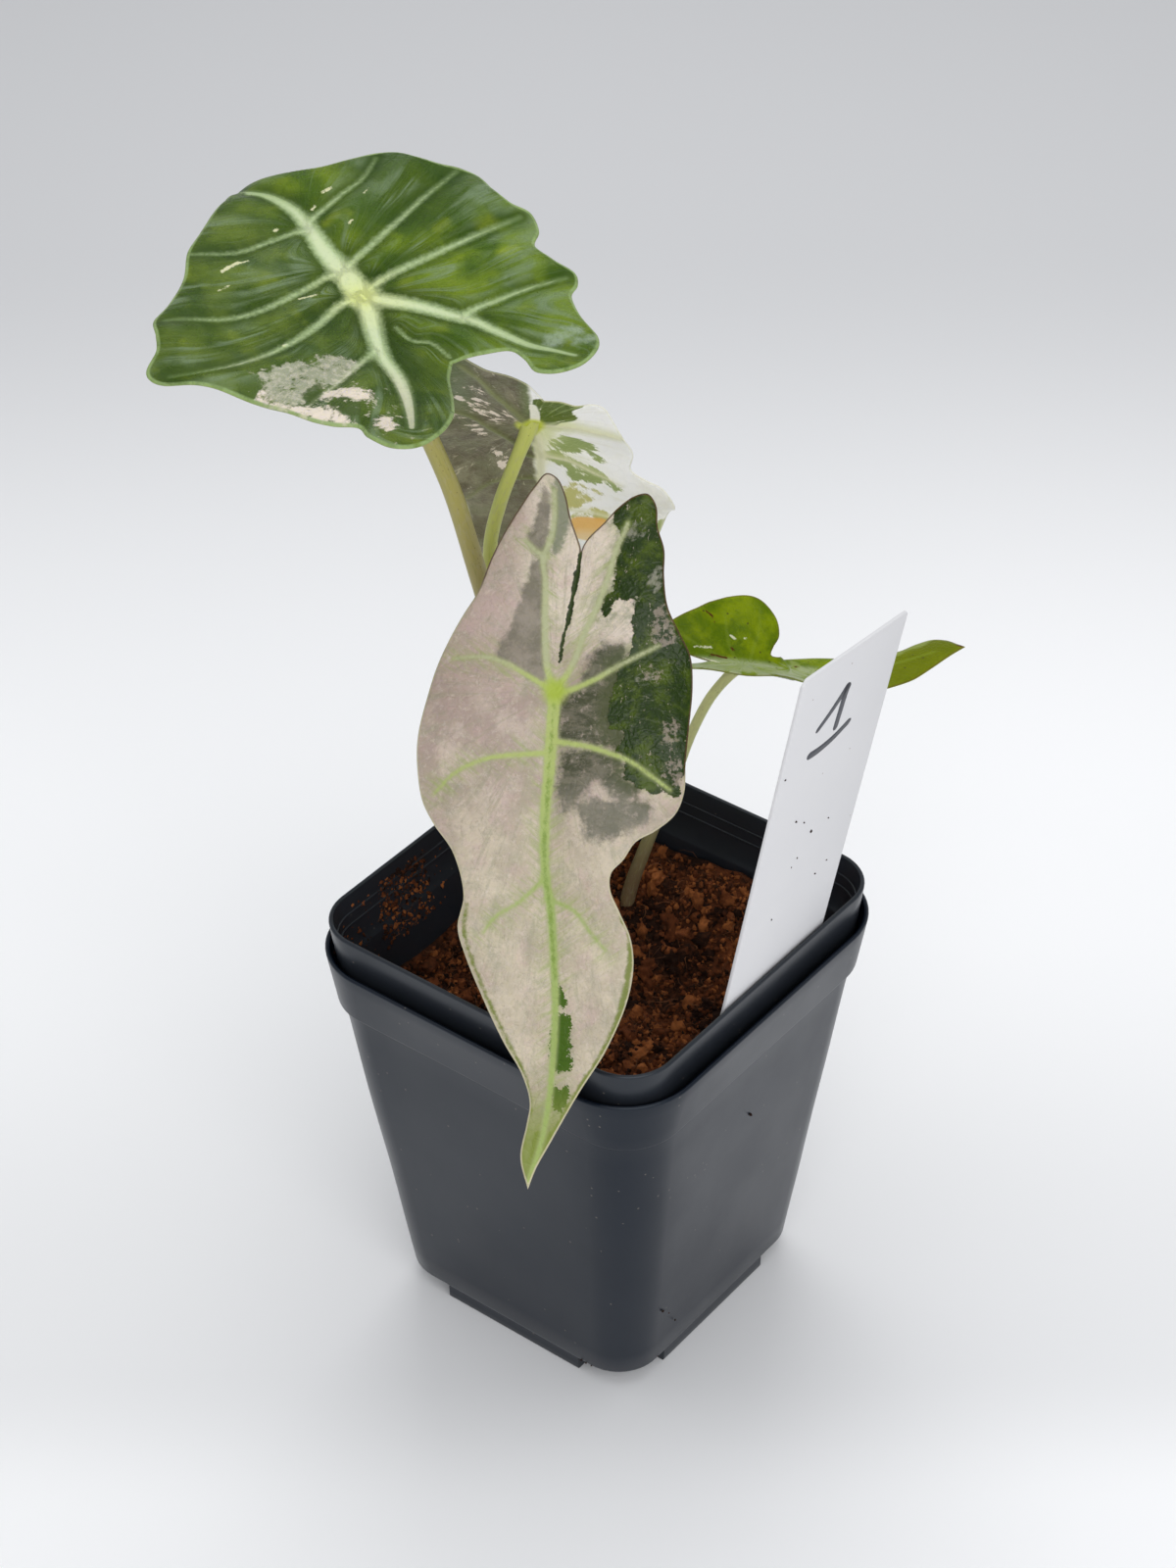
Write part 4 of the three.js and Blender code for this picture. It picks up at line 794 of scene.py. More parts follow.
def blade_piece(name):
    leaf = LEAVES[name]
    points, faces, closed = nets[name]
    u, v = points.T
    surface = blade_surface(leaf)
    middle, normal = surface(u, v), surface_normals(surface, u, v)
    fields, order = blade_fields(name, points, closed)
    swell, reach, rib = SWELL[name]
    clear = np.maximum(fields["vein"], 0)
    full = (1 - np.exp(-((clear / reach) ** 1.5))) * np.clip(fields["rim"] / MARGIN_FADE, 0, 1) ** 0.7
    edge = np.clip(fields["rim"] / MARGIN_TAPER, 0, 1)
    thick = BLADE_THICK * (MARGIN_SHARE + (1 - MARGIN_SHARE) * np.sqrt(edge))
    upper = swell * (full - 0.35)
    fade = np.clip(1 - np.hypot(u, v) / RIB_FADE, 0.15, 1)
    ridge = rib * fade * np.clip(0.6 - fields["vein"], 0, 1.4) / 1.4
    top = middle + normal * (upper + thick / 2)[:, None]
    bottom = middle + normal * (upper - thick / 2 - ridge)[:, None]
    count = len(points)
    directed = np.vstack([faces[:, [0, 1]], faces[:, [1, 2]], faces[:, [2, 0]]])
    known = {tuple(edge) for edge in directed}
    rim_edges = [(a, b) for a, b in known if (b, a) not in known]
    walls = [(b, a, a + count, b + count) for a, b in sorted(rim_edges)]
    below = faces[:, ::-1] + count
    piece = make_piece(name + "_blade", np.vstack([top, bottom]), faces.tolist() + below.tolist() + walls)
    face = np.concatenate([np.ones(count), -np.ones(count)])
    paint(piece.data, "blade", np.column_stack([twice(u), twice(v), face]))
    radius = np.hypot(u, v) * np.where(v > 0, 1, 0.9)
    paint(piece.data, "flow", np.column_stack([twice(radius), twice(order), face]))
    for label, values in fields.items():
        paint(piece.data, label, twice(values))
    tree = KDTree(count)
    for index, point in enumerate(bottom):
        tree.insert(point, index)
    tree.balance()
    undersides[name] = (tree, bottom, normal)
    report(piece)
    return piece


blades = {name: blade_piece(name) for name in LEAVES}

# %% [markdown]
# ### The colours of the leaves
# Every leaf has the same build: a ground colour that changes along the veins, torn patches, a halo
# beside each vein, the veins themselves and a pale margin. The layers differ from leaf to leaf, so
# each leaf gets its own material from the shared groups.


# %% Layers that every leaf has
class LeafFinish(Finish):
    def __init__(self, name, **constants):
        super().__init__(name, **constants)
        self.blade = self.attribute("blade", "Vector")
        self.flow = self.attribute("flow", "Vector")
        self.across, self.along, self.face = (self.axis(self.blade, which) for which in range(3))
        self.hub = self.node("ShaderNodeVectorMath", {0: self.scaled(self.blade, 1, 1, 0)}, output=1,
                             operation="LENGTH")
        turned = self.math("ARCTAN2", self.across, self.along)
        self.fan = self.node("ShaderNodeCombineXYZ", {0: self.hub, 1: turned, 2: self.face})

    def rays(self, length, width, detail=4.0, roughness=0.6):
        """Noise in streaks that fan out from the stalk. Length is in millimetres, width in radians."""
        return self.noise(self.scaled(self.fan, 1 / length, 1 / width), 1.0, detail, roughness)

    def streaks(self, length, width, detail=4.0):
        """Noise in streaks along the veins. Length is in millimetres, width in gaps between veins."""
        return self.noise(self.scaled(self.flow, 1 / length, 1 / width), 1.0, detail, 0.6)

    def mottle(self, size, detail=4.0, roughness=0.6):
        return self.noise(self.blade, 1 / size, detail, roughness)

    def blotches(self, size, low, high, share=1.0, detail=4.0, roughness=0.6):
        """A mask of soft blotches, as large as its size in millimetres."""
        return self.step(self.mottle(size, detail, roughness), low, high, share)

    def small_veins(self, scale, width):
        place = self.scaled(self.blade, 1, 1, 0)
        return self.group(vein_net, {"Place": place, "Scale": scale, "Width": width})

    def patch(self, label, colour, tear=1.0, grain=0.6, softness=0.2, share=1.0, fill=100.0, along=0.0):
        """Lays a torn patch over the colour so far, torn in rays where along is their length."""
        place = self.scaled(self.fan, 1 / along, 9.0) if along else self.blade
        mask = self.group(torn_patch, {
            "Depth": self.attribute(label), "Place": place, "Tear": tear, "Grain": grain,
            "Softness": softness, "Fill": fill})
        if share != 1.0:
            mask = self.times(mask, share)
        self.lay(colour, mask)
        return mask

    def band(self, label, full, gone, share=1.0):
        """A mask that fades from the distance where it is full to the distance where it is gone."""
        return self.step(self.attribute(label), gone, full, share)

    def seen_below(self):
        """A mask of the blade's underside."""
        return self.step(self.face, 0.2, -0.2)


# %% Leaf 1: dark green with wide pale veins
LEAF_GLOW = {
    "Subsurface_Weight": 0.35, "Subsurface_Scale": 1.2 * MM, "Subsurface_Radius": (1.0, 1.0, 0.4)}
deep = LeafFinish("leaf_dark_green", Roughness=0.3, Specular_IOR_Level=0.22, **LEAF_GLOW)
left_side = deep.step(deep.across, 8.0, -12.0)
bright = deep.mix((0.045, 0.098, 0.0), (0.135, 0.208, 0.004), deep.blotches(13, 0.36, 0.64, detail=1.5))
dull = deep.mix((0.032, 0.070, 0.001), (0.100, 0.150, 0.013), deep.blotches(9, 0.36, 0.66, detail=1.5))
deep.colour = deep.mix(bright, dull, deep.times(left_side, 0.9))
deep.lay((0.03, 0.068, 0.0), deep.blotches(2.6, 0.5, 0.7, 0.35, 5.0, 0.7))
deep.lay((0.19, 0.25, 0.012), deep.blotches(7, 0.56, 0.74, 0.45, detail=2.0))
deep.patch("lime", (0.26, 0.33, 0.01), tear=1.6, softness=1.2, share=0.6)
right_tip = deep.times(deep.step(deep.across, 12.0, 24.0), deep.step(deep.along, 4.0, 12.0, 0.75))
deep.lay((0.026, 0.064, 0.0), right_tip)
# Painted shade darkens the blade beside the veins, and silky grey streaks of painted sheen lie in the fields
# between them
painted_valley_shade = deep.times(deep.band("vein", 0.6, 4.4),
                    deep.step(deep.mottle(6), 0.35, 0.6, to_high=0.7, to_low=0.3))
deep.lay((0.016, 0.046, 0.0), painted_valley_shade)
open_field = deep.band("vein", 3.0, 0.5)
painted_sheen = deep.step(deep.streaks(26, 0.30, 3.0), 0.44, 0.64, 0.72)
patchy = deep.step(deep.mottle(12, 2.0), 0.42, 0.58, to_high=1.0, to_low=0.25)
deep.lay((0.175, 0.245, 0.135), deep.times(painted_sheen, deep.times(open_field, patchy)))
# Thin threads of painted sheen run along the veins
thread = deep.step(deep.streaks(30, 0.05, 2.0), 0.62, 0.74, 0.3)
deep.lay((0.17, 0.25, 0.13), deep.times(thread, open_field))
deep.lay((0.13, 0.205, 0.06), deep.band("vein", 0.0, 0.9, 0.4))
print("Leaf 1's ground:", len(deep.tree.nodes), "nodes")

# %% Leaf 1: patches
deep.patch("grey", (0.34, 0.355, 0.255), tear=8.0, grain=0.45, softness=0.7, share=0.9, fill=1.0)
deep.patch("grey", (0.52, 0.49, 0.40), tear=9.0, grain=0.8, softness=0.6, share=0.65, fill=-0.3)
deep.patch("grey", (0.08, 0.12, 0.035), tear=9.0, grain=0.55, softness=0.5, share=0.75, fill=-1.3)
deep.patch("pink", (0.70, 0.62, 0.54), tear=8.0, grain=0.5, softness=0.7, fill=0.9)
deep.patch("dark", (0.05, 0.085, 0.012), tear=4.0, grain=0.5, softness=0.4, share=0.85, fill=0.6)
stray = deep.times(deep.band("pink", -1.0, -9.0), deep.blotches(2.2, 0.60, 0.64, 0.8, 5.0, 0.7))
deep.lay((0.52, 0.50, 0.38), stray)
deep.patch("cream", (0.60, 0.60, 0.38), tear=1.0, grain=1.6, softness=0.12)
# A pale glare near the right lobe's tip is a painted highlight
deep.patch("sheen", (0.34, 0.42, 0.33), tear=5.0, grain=0.7, softness=1.5, share=0.6, fill=0.5)
print("Leaf 1 with its patches:", len(deep.tree.nodes), "nodes")

# %% Leaf 1: veins and surface
pale = deep.mix((0.42, 0.53, 0.28), (0.66, 0.72, 0.48), deep.band("vein", -1.8, -0.3, 0.6))
pale = deep.mix(pale, (0.62, 0.68, 0.34), deep.step(deep.hub, 14.0, 5.0, 0.6))
pale = deep.mix(pale, (0.34, 0.44, 0.20), deep.blotches(1.2, 0.5, 0.7, 0.35, 5.0, 0.7))
pale = deep.mix(pale, (0.66, 0.65, 0.48), deep.band("pink", -6.0, -16.0, 0.9))
heart = deep.plus(deep.hub, deep.times(deep.mottle(2.5), 4.0))
pale = deep.mix(pale, (0.65, 0.71, 0.24), deep.step(heart, 7.5, 3.0, 0.75))
# Near the stalk the veins' edges are feathered, and farther out they are crisp
feathers = deep.noise(deep.scaled(deep.blade, 1, 1), 0.9, 5.0, 0.7)
frayed = deep.plus(deep.attribute("vein"), deep.wobble(feathers, 2.2))
broad = deep.step(frayed, 1.0, -1.2)
crisp = deep.times(deep.band("vein", -0.35, 0.12), deep.step(deep.hub, 20.0, 60.0, to_high=0.6, to_low=0.9))
near_node = deep.step(deep.hub, 52.0, 16.0)
near_veins = deep.times(broad, near_node)
far_veins = deep.times(crisp, deep.math("SUBTRACT", 1.0, near_node))
deep.lay(pale, deep.plus(near_veins, far_veins))
uneven = deep.step(deep.mottle(3, 3.0), 0.3, 0.55, to_high=0.95, to_low=0.45)
deep.lay((0.26, 0.36, 0.14), deep.times(deep.band("rim", 0.4, 0.9), uneven))
under = deep.mix((0.20, 0.27, 0.12), (0.42, 0.50, 0.28), deep.band("vein", -0.3, 0.7))
deep.lay(under, deep.seen_below())
deep.set("Roughness", deep.step(deep.mottle(1.6), 0.3, 0.75, to_high=0.42, to_low=0.26))
ridges = deep.small_veins(0.5, 0.2)
ridges = deep.times(ridges, deep.times(open_field, 0.3))
deep.bump(deep.plus(ridges, deep.times(deep.streaks(14, 0.12), 2.6)), 0.7, 0.3)
deep.finish()

# %% Leaf 2: mauve and cream, with torn dark green
mauve = LeafFinish("leaf_cream_pink", Roughness=0.4, Specular_IOR_Level=0.25, **LEAF_GLOW)
low_part = mauve.step(mauve.along, 8.0, 42.0)
cloud = mauve.blotches(10, 0.42, 0.60, detail=4.0)
upper_ground = mauve.mix((0.39, 0.305, 0.265), (0.52, 0.43, 0.37), cloud)
lower_ground = mauve.mix((0.47, 0.41, 0.315), (0.57, 0.50, 0.39), cloud)
mauve.colour = mauve.mix(upper_ground, lower_ground, low_part)
mauve.lay((0.70, 0.61, 0.53), mauve.step(mauve.along, -6.0, -15.0, 0.9))
left_lobe = mauve.times(mauve.step(mauve.across, 5.0, 12.0), mauve.step(mauve.along, 10.0, -4.0))
mauve.lay((0.44, 0.34, 0.30), mauve.times(left_lobe, 0.85))
mauve.lay((0.52, 0.375, 0.36), mauve.blotches(7, 0.48, 0.64, 0.45, 5.0, 0.7))
mauve.lay((0.33, 0.31, 0.235), mauve.blotches(4, 0.48, 0.68, 0.6, 6.0, 0.78))
mauve.lay((0.33, 0.315, 0.22), mauve.step(mauve.rays(16, 0.06, 6.0, 0.75), 0.48, 0.66, 0.55))
mauve.lay((0.70, 0.61, 0.53), mauve.blotches(1.4, 0.50, 0.70, 0.4, 6.0, 0.75))
mauve.lay((0.32, 0.26, 0.20), mauve.blotches(0.6, 0.52, 0.70, 0.5, 5.0, 0.75))
# Green feathers that sweep away from the midrib
swept = mauve.plus(mauve.along, mauve.times(mauve.math("ABSOLUTE", mauve.across), 0.7))
feather_place = mauve.node("ShaderNodeCombineXYZ", {0: mauve.times(mauve.across, 0.16), 1: swept})
feather = mauve.step(mauve.noise(feather_place, 0.7, 6.0, 0.75, 0.6), 0.40, 0.70)
mauve.lay((0.32, 0.37, 0.14), mauve.times(mauve.band("vein", 0.0, 6.0, 0.85), feather))
print("Leaf 2's ground:", len(mauve.tree.nodes), "nodes")

# %% Leaf 2: patches
mauve.patch("sage", (0.185, 0.205, 0.135), tear=4.0, grain=0.5, softness=0.8, share=0.85, fill=1.2)
grey = mauve.mix((0.165, 0.148, 0.108), (0.27, 0.235, 0.19),
                 mauve.blotches(6, 0.40, 0.64, detail=6.0, roughness=0.7))
mauve.patch("grey", grey, tear=3.5, grain=0.4, softness=0.7, share=0.92, fill=2.4)
border = mauve.times(mauve.band("dark", -0.2, -4.0, 0.75), mauve.step(mauve.along, 0.0, -8.0))
broken = mauve.blotches(2.5, 0.4, 0.62, detail=6.0, roughness=0.7)
mauve.lay((0.22, 0.24, 0.14), mauve.times(border, broken))
moss_grain = mauve.noise(mauve.scaled(mauve.blade, 0.16, 0.34), 1.0, 6.0, 0.78)
moss = mauve.mix((0.042, 0.050, 0.020), (0.14, 0.13, 0.09), mauve.step(moss_grain, 0.42, 0.60))
moss = mauve.mix(moss, (0.40, 0.33, 0.28), mauve.blotches(2.4, 0.54, 0.66, 0.65, 6.0, 0.75))
moss = mauve.mix(moss, (0.27, 0.25, 0.20), mauve.step(mauve.along, 15.0, 24.0, 0.45))
moss = mauve.mix(moss, (0.05, 0.065, 0.015), mauve.band("dark", -0.5, -5.0, 0.85))
mauve.patch("moss", moss, tear=6.0, grain=0.6, softness=1.4, share=0.95, fill=1.9)
leafy = mauve.mix((0.014, 0.033, 0.0), (0.055, 0.088, 0.001),
                  mauve.blotches(5, 0.44, 0.66, detail=4.0, roughness=0.6))
dark_mask = mauve.patch("dark", leafy, tear=4.2, grain=0.5, softness=0.12, fill=2.5)
# The gloss patches are painted highlights: pale glints on the dark green
mauve.patch("gloss", (0.30, 0.29, 0.23), tear=9.0, softness=0.5, share=0.7, fill=-1.0, along=6.0)
mauve.patch("blush", (0.33, 0.27, 0.22), tear=8.0, grain=0.8, softness=0.5, share=0.65, fill=0.1)
flake_place = mauve.scaled(mauve.blade, 1.3, 0.7)
flake = mauve.step(mauve.noise(flake_place, 0.55, 6.0, 0.74), 0.625, 0.65, 0.85)
mauve.lay((0.33, 0.29, 0.22), mauve.times(flake, mauve.band("dark", 0.8, 0.2)))
mauve.patch("fleck", (0.050, 0.110, 0.002), tear=4.5, grain=1.4, softness=0.1, fill=0.9)
mauve.patch("hem", (0.15, 0.19, 0.02), tear=1.8, grain=0.6, softness=0.4, share=0.9)
mauve.lay((0.20, 0.25, 0.04), mauve.step(mauve.along, 80.0, 98.0, 0.9))
print("Leaf 2 with its patches:", len(mauve.tree.nodes), "nodes")

# %% Leaf 2: veins and surface
mauve.lay((0.36, 0.40, 0.17), mauve.band("vein", 0.0, 1.0, 0.5))
rib_colour = mauve.mix((0.43, 0.50, 0.16), (0.33, 0.42, 0.13), mauve.step(mauve.along, 0.0, 50.0))
rib_colour = mauve.mix(rib_colour, (0.44, 0.46, 0.27), mauve.step(mauve.along, -2.0, -7.0))
frayed = mauve.plus(mauve.attribute("vein"), mauve.wobble(mauve.mottle(1.2, 5.0, 0.7), 0.7))
mauve.lay(rib_colour, mauve.step(frayed, 0.45, -0.2, 0.95))
mauve.patch("core", (0.15, 0.25, 0.02), tear=2.4, grain=0.5, softness=0.4, share=0.65, fill=0.1)
mauve.lay((0.37, 0.47, 0.05), mauve.step(mauve.hub, 4.2, 0.8, 0.95))
dark_side = mauve.math("MAXIMUM", mauve.band("dark", 0.5, -1.0), mauve.step(mauve.along, -14.0, -26.0))
margin = mauve.mix((0.55, 0.50, 0.36), (0.085, 0.04, 0.022), dark_side)
mauve.lay(margin, mauve.band("rim", 0.25, 0.45, 0.85))
# The dark line along the slit is painted shadow, standing in for the shaded gap between its edges
mauve.patch("slit_shadow", (0.020, 0.034, 0.006), tear=1.3, grain=0.8, softness=0.1)
under = mauve.mix((0.34, 0.29, 0.22), (0.24, 0.28, 0.10), mauve.band("vein", -0.3, 0.5))
mauve.lay(under, mauve.seen_below())
dull_part = mauve.step(mauve.mottle(1.2), 0.3, 0.7, to_high=0.48, to_low=0.34)
mauve.set("Roughness", mauve.math("SUBTRACT", dull_part, mauve.times(dark_mask, 0.22)))
ridges = mauve.small_veins(0.5, 0.2)
glints = mauve.times(mauve.mottle(2.2, 3.0), mauve.times(dark_mask, 3.0))
mauve.bump(mauve.plus(mauve.times(ridges, 0.4), mauve.plus(glints, mauve.mottle(1.5, 5.0))), 0.6, 0.25)
mauve.finish()

# %% Leaf 3: its underside faces the view, half purple-grey and half cream
back = LeafFinish("leaf_underside", Roughness=0.5, Specular_IOR_Level=0.3, Subsurface_Weight=0.8,
                  Subsurface_Scale=3 * MM, Subsurface_Radius=(1.0, 1.0, 0.8))
right_half = back.step(back.plus(back.across, back.wobble(back.mottle(5), 3.0)), -0.3, 1.2)
cream = back.mix((0.95, 0.93, 0.86), (0.84, 0.81, 0.68), back.step(back.streaks(12, 0.4), 0.5, 0.75))
purple = back.mix((0.075, 0.060, 0.040), (0.175, 0.16, 0.115),
                  back.step(back.rays(9, 0.25, 6.0, 0.7), 0.42, 0.64))
purple = back.mix(purple, (0.12, 0.12, 0.07), back.blotches(6, 0.45, 0.6, 0.6, detail=3.0))
olive = back.mix((0.055, 0.085, 0.025), (0.16, 0.18, 0.10), back.mottle(2.2))
notch_side = back.times(back.step(back.along, 2.0, -8.0), back.step(back.across, -3.0, 0.0))
purple = back.mix(purple, olive, notch_side)
upper_left = back.times(back.step(back.along, 4.0, -12.0), back.step(back.across, -9.0, -16.0))
purple = back.mix(purple, olive, upper_left)
back.colour = back.mix(purple, cream, right_half)
thread = back.times(back.step(back.rays(6, 0.07, 5.0, 0.7), 0.60, 0.65),
                    back.step(back.across, 0.0, -3.0, 0.6))
back.lay((0.42, 0.38, 0.31), thread)
print("Leaf 3's ground:", len(back.tree.nodes), "nodes")

# %% Leaf 3: patches
back.patch("milk", (0.66, 0.56, 0.49), tear=9.0, grain=1.1, softness=0.3, fill=0.0, along=4.0)
back.patch("leafy", (0.185, 0.25, 0.06), tear=10.0, grain=0.8, softness=0.4, share=0.95, fill=0.7,
           along=9.0)
back.patch("ochre", (0.40, 0.38, 0.13), tear=9.0, grain=0.9, softness=0.5, share=0.95, fill=0.4, along=9.0)
tint = back.times(back.band("vein", 0.5, 4.0, 0.55), back.step(back.along, 30.0, 4.0))
back.lay((0.46, 0.49, 0.22), back.times(tint, right_half))
round_stalk = back.step(back.plus(back.hub, back.times(back.mottle(3), 8.0)), 17.0, 9.0, 0.7)
back.lay((0.50, 0.54, 0.27), back.times(right_half, round_stalk))
back.patch("shade", (0.66, 0.63, 0.50), tear=2.0, grain=0.3, softness=1.5, share=0.35)
orange = back.mix((0.72, 0.35, 0.09), (0.74, 0.48, 0.27), back.step(back.along, 46.0, 51.0))
back.patch("orange", orange, tear=1.0, grain=0.4, softness=0.5, share=0.95)
flap = back.mix((0.055, 0.095, 0.010), (0.17, 0.23, 0.08), back.step(back.rays(12, 0.12, 4.0), 0.5, 0.64))
flap = back.mix(flap, (0.62, 0.62, 0.50), back.step(back.rays(5, 0.10, 5.0, 0.7), 0.63, 0.67))
back.patch("flap", flap, tear=2.5, grain=0.8, softness=0.2, along=5.0)
back.patch("white", (0.74, 0.72, 0.60), tear=0.8, grain=0.9, softness=0.2)
print("Leaf 3 with its patches:", len(back.tree.nodes), "nodes")

# %% Leaf 3: veins, front and surface
rib_colour = back.mix((0.21, 0.23, 0.10), (0.70, 0.69, 0.50), right_half)
back.lay(rib_colour, back.band("vein", 0.0, 1.2, 0.4))
back.lay(rib_colour, back.band("vein", -0.3, 0.2, 0.75))
back.lay((0.50, 0.55, 0.07), back.step(back.hub, 4.2, 2.2))
back.lay((0.46, 0.44, 0.28), back.band("rim", 0.25, 0.5, 0.5))
# The face that looks away: plain green and cream halves
green_half = back.mix((0.040, 0.066, 0.008), (0.075, 0.115, 0.016), back.mottle(4))
cream_half = back.mix((0.62, 0.57, 0.47), (0.50, 0.47, 0.33), back.mottle(6))
front = back.mix(green_half, cream_half, right_half)
front = back.mix(front, (0.40, 0.36, 0.28), back.times(thread, 1.4))
front = back.mix(front, (0.075, 0.12, 0.012), back.band("leafy", 0.3, -0.2))
front = back.mix(front, (0.33, 0.38, 0.13), back.band("vein", -0.2, 0.5))
back.lay(front, back.step(back.face, -0.2, 0.2))
back.set("Roughness", back.step(back.mottle(1.2), 0.3, 0.7, to_high=0.58, to_low=0.42))
ridges = back.small_veins(0.5, 0.15)
back.bump(back.plus(ridges, back.streaks(6, 0.2)), 0.4, -0.15)
back.finish()

# %% Leaf 4: young, thin and yellow-green
young = LeafFinish("leaf_light_green", Roughness=0.3, Specular_IOR_Level=0.1, **LEAF_GLOW)
young.colour = young.mix((0.10, 0.165, 0.0), (0.20, 0.27, 0.0), young.blotches(6, 0.36, 0.64, detail=3.0))
young.lay((0.07, 0.12, 0.0), young.blotches(2.4, 0.55, 0.7, 0.4, detail=5.0))
young.lay((0.13, 0.155, 0.0), young.step(young.along, 24.0, 34.0, 0.85))
young.patch("yellow", (0.24, 0.31, 0.01), tear=1.0, softness=1.5, share=0.4)
young.patch("pale", (0.30, 0.36, 0.10), tear=1.5, grain=0.5, softness=0.5, share=0.6)
young.lay((0.23, 0.31, 0.03), young.band("vein", -0.1, 0.4, 0.3))
# Pale streaks on the near side, below the midrib, are a painted sheen
near_side_sheen = young.times(young.step(young.across, -2.6, 0.0), young.step(young.along, 24.0, 16.0))
near_side_sheen = young.times(near_side_sheen, young.step(young.streaks(9, 0.3, 5.0), 0.36, 0.56, 0.85))
young.lay((0.37, 0.42, 0.26), near_side_sheen)
young.patch("cream", (0.66, 0.66, 0.48), tear=0.8, grain=1.4, softness=0.12)
young.patch("rust", (0.09, 0.03, 0.004), tear=0.8, grain=1.2, softness=0.12)
speck = young.speckle(young.blade, 0.45, 0.13, 0.3)
young.lay((0.06, 0.05, 0.01), young.times(speck, 0.7))
young.lay((0.13, 0.11, 0.02), young.band("rim", 0.2, 0.4, 0.7))
under = young.mix((0.17, 0.23, 0.02), (0.30, 0.35, 0.08), young.band("vein", -0.2, 0.5))
young.lay(under, young.seen_below())
ridges = young.small_veins(0.7, 0.2)
young.bump(young.plus(ridges, young.streaks(5, 0.2)), 0.3, 0.15)
young.finish()

# %% The leaves put together
for name, finish in (("leaf_1", deep), ("leaf_2", mauve), ("leaf_3", back), ("leaf_4", young)):
    blades[name].data.materials.append(finish.material)
    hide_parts(name)
    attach(blades[name], "root")

# %% [markdown]
# ## Leaf stalks
# Each leaf stands on a round, fleshy stalk that tapers upwards and spreads a little where it meets
# the blade. A stalk follows a path, so Geometry Nodes sweep a ring along it. The tree has inputs for
# the two radii, and it keeps the place along and around the stalk for the stalk's streaks.

# %% Stalk routes
# Radius at the foot and at the tip, how far the stalk runs on into the blade, and the path from the
# crown up to the blade
STALKS = {
    "petiole_1": (2.6, 2.1, 3.0, [
        (-18, 14.6, 82), (-20, 14.4, 94), (-26.4, 13.4, 125), (-33.6, 10.9, 155), (-39.4, 7.9, 182),
        (-43.8, 4.8, 204.7), (-48, 1.4, 221), (-52.6, -2.8, 239), (-57.1, -6.8, 254.6)]),
    "petiole_2": (2.4, 1.8, 3.0, [
        (-9.6, 15.4, 82), (-10, 12.5, 100), (-10.6, 6, 128), (-9.6, -2.5, 153), (-5.6, -10, 171),
        (-0.6, -14.6, 180.5)]),
    "petiole_3": (2.3, 1.6, 3.0, [
        (-17, 22.6, 82), (-20, 22.3, 94), (-27.5, 21.4, 110), (-36.2, 18.6, 134), (-41.6, 15.6, 163),
        (-43.2, 16.6, 184.8), (-41.8, 18.9, 196), (-39.6, 22, 206), (-37.9, 24.5, 213.4)]),
    "petiole_4": (1.9, 1.2, 0.5, [
        (-10.4, 22.6, 82), (-9.9, 24.7, 94), (-6.7, 27.4, 109), (-1.7, 31.3, 128.5), (1.4, 33.6, 141.5),
        (4.9, 36.1, 152), (8.4, 38.4, 158.4), (10.4, 39.8, 161.2)]),
}

# %% A tree that sweeps a ring along a path
stalk_tree, stalk_inputs, given = new_geometry_tree("stalk_sweep", {
    "Path": "Geometry", "Foot radius": "Float", "Tip radius": "Float", "Sides": "Int",
    "Skin": "Material"}, "Stalk")
sweep = Pipes(stalk_tree)
path = sweep.node("GeometryNodeMeshToCurve", {"Mesh": given["Path"]})
share = sweep.node("GeometryNodeSplineParameter", output="Factor")
travelled = sweep.node("GeometryNodeSplineParameter", output="Length")
radius = sweep.node("ShaderNodeMapRange", {
    "Value": share, "From Max": 0.714, "To Min": given["Foot radius"], "To Max": given["Tip radius"]})
path = sweep.store("share_up", sweep.store("length_up", path, travelled), share)
ring = sweep.node("GeometryNodeCurvePrimitiveCircle", {"Resolution": given["Sides"], "Radius": 1.0})
around = sweep.node("GeometryNodeSplineParameter", output="Factor")
ring = sweep.store("around", ring, around)
tube = sweep.node("GeometryNodeCurveToMesh", {
    "Curve": path, "Profile Curve": ring, "Scale": radius, "Fill Caps": True})
tube = sweep.node("GeometryNodeRealizeInstances", {"Geometry": tube})
tube = sweep.node("GeometryNodeSetMaterial", {"Geometry": tube, "Material": given["Skin"]})
stalk_tree.links.new(tube, stalk_tree.nodes.new("NodeGroupOutput").inputs[0])
print("Tree:", stalk_tree.name, "with inputs", ", ".join(stalk_inputs))


# %% Stalk skins
def stalk_skin(name, low, high, streak, dash_share):
    skin = Finish(name, Roughness=0.4, Specular_IOR_Level=0.4)
    lengthwise = skin.times(skin.attribute("length_up"), 1 / MM)
    angle = skin.times(skin.attribute("around"), 2 * math.pi)
    place = skin.node("ShaderNodeCombineXYZ", {
        0: skin.math("COSINE", angle), 1: skin.math("SINE", angle), 2: skin.times(lengthwise, 0.05)})
    fibre = skin.noise(place, 6.0, 4.0, 0.6)
    skin.colour = skin.mix(low, high, skin.step(skin.attribute("share_up"), 0.15, 0.75))
    skin.lay(streak, skin.step(fibre, 0.52, 0.72, 0.55))
    blotch = skin.noise(skin.scaled(place, 1, 1, 4), 2.2, 4.0, 0.6)
    skin.lay((0.40, 0.36, 0.26), skin.step(blotch, 0.5, 0.7, 0.35))
    dash = skin.speckle(skin.scaled(place, 1, 1, 9), 2.4, 0.16, dash_share)
    skin.lay((0.10, 0.06, 0.025), skin.times(dash, 0.6))
    skin.bump(fibre, 0.4, 0.2)
    return skin.finish()


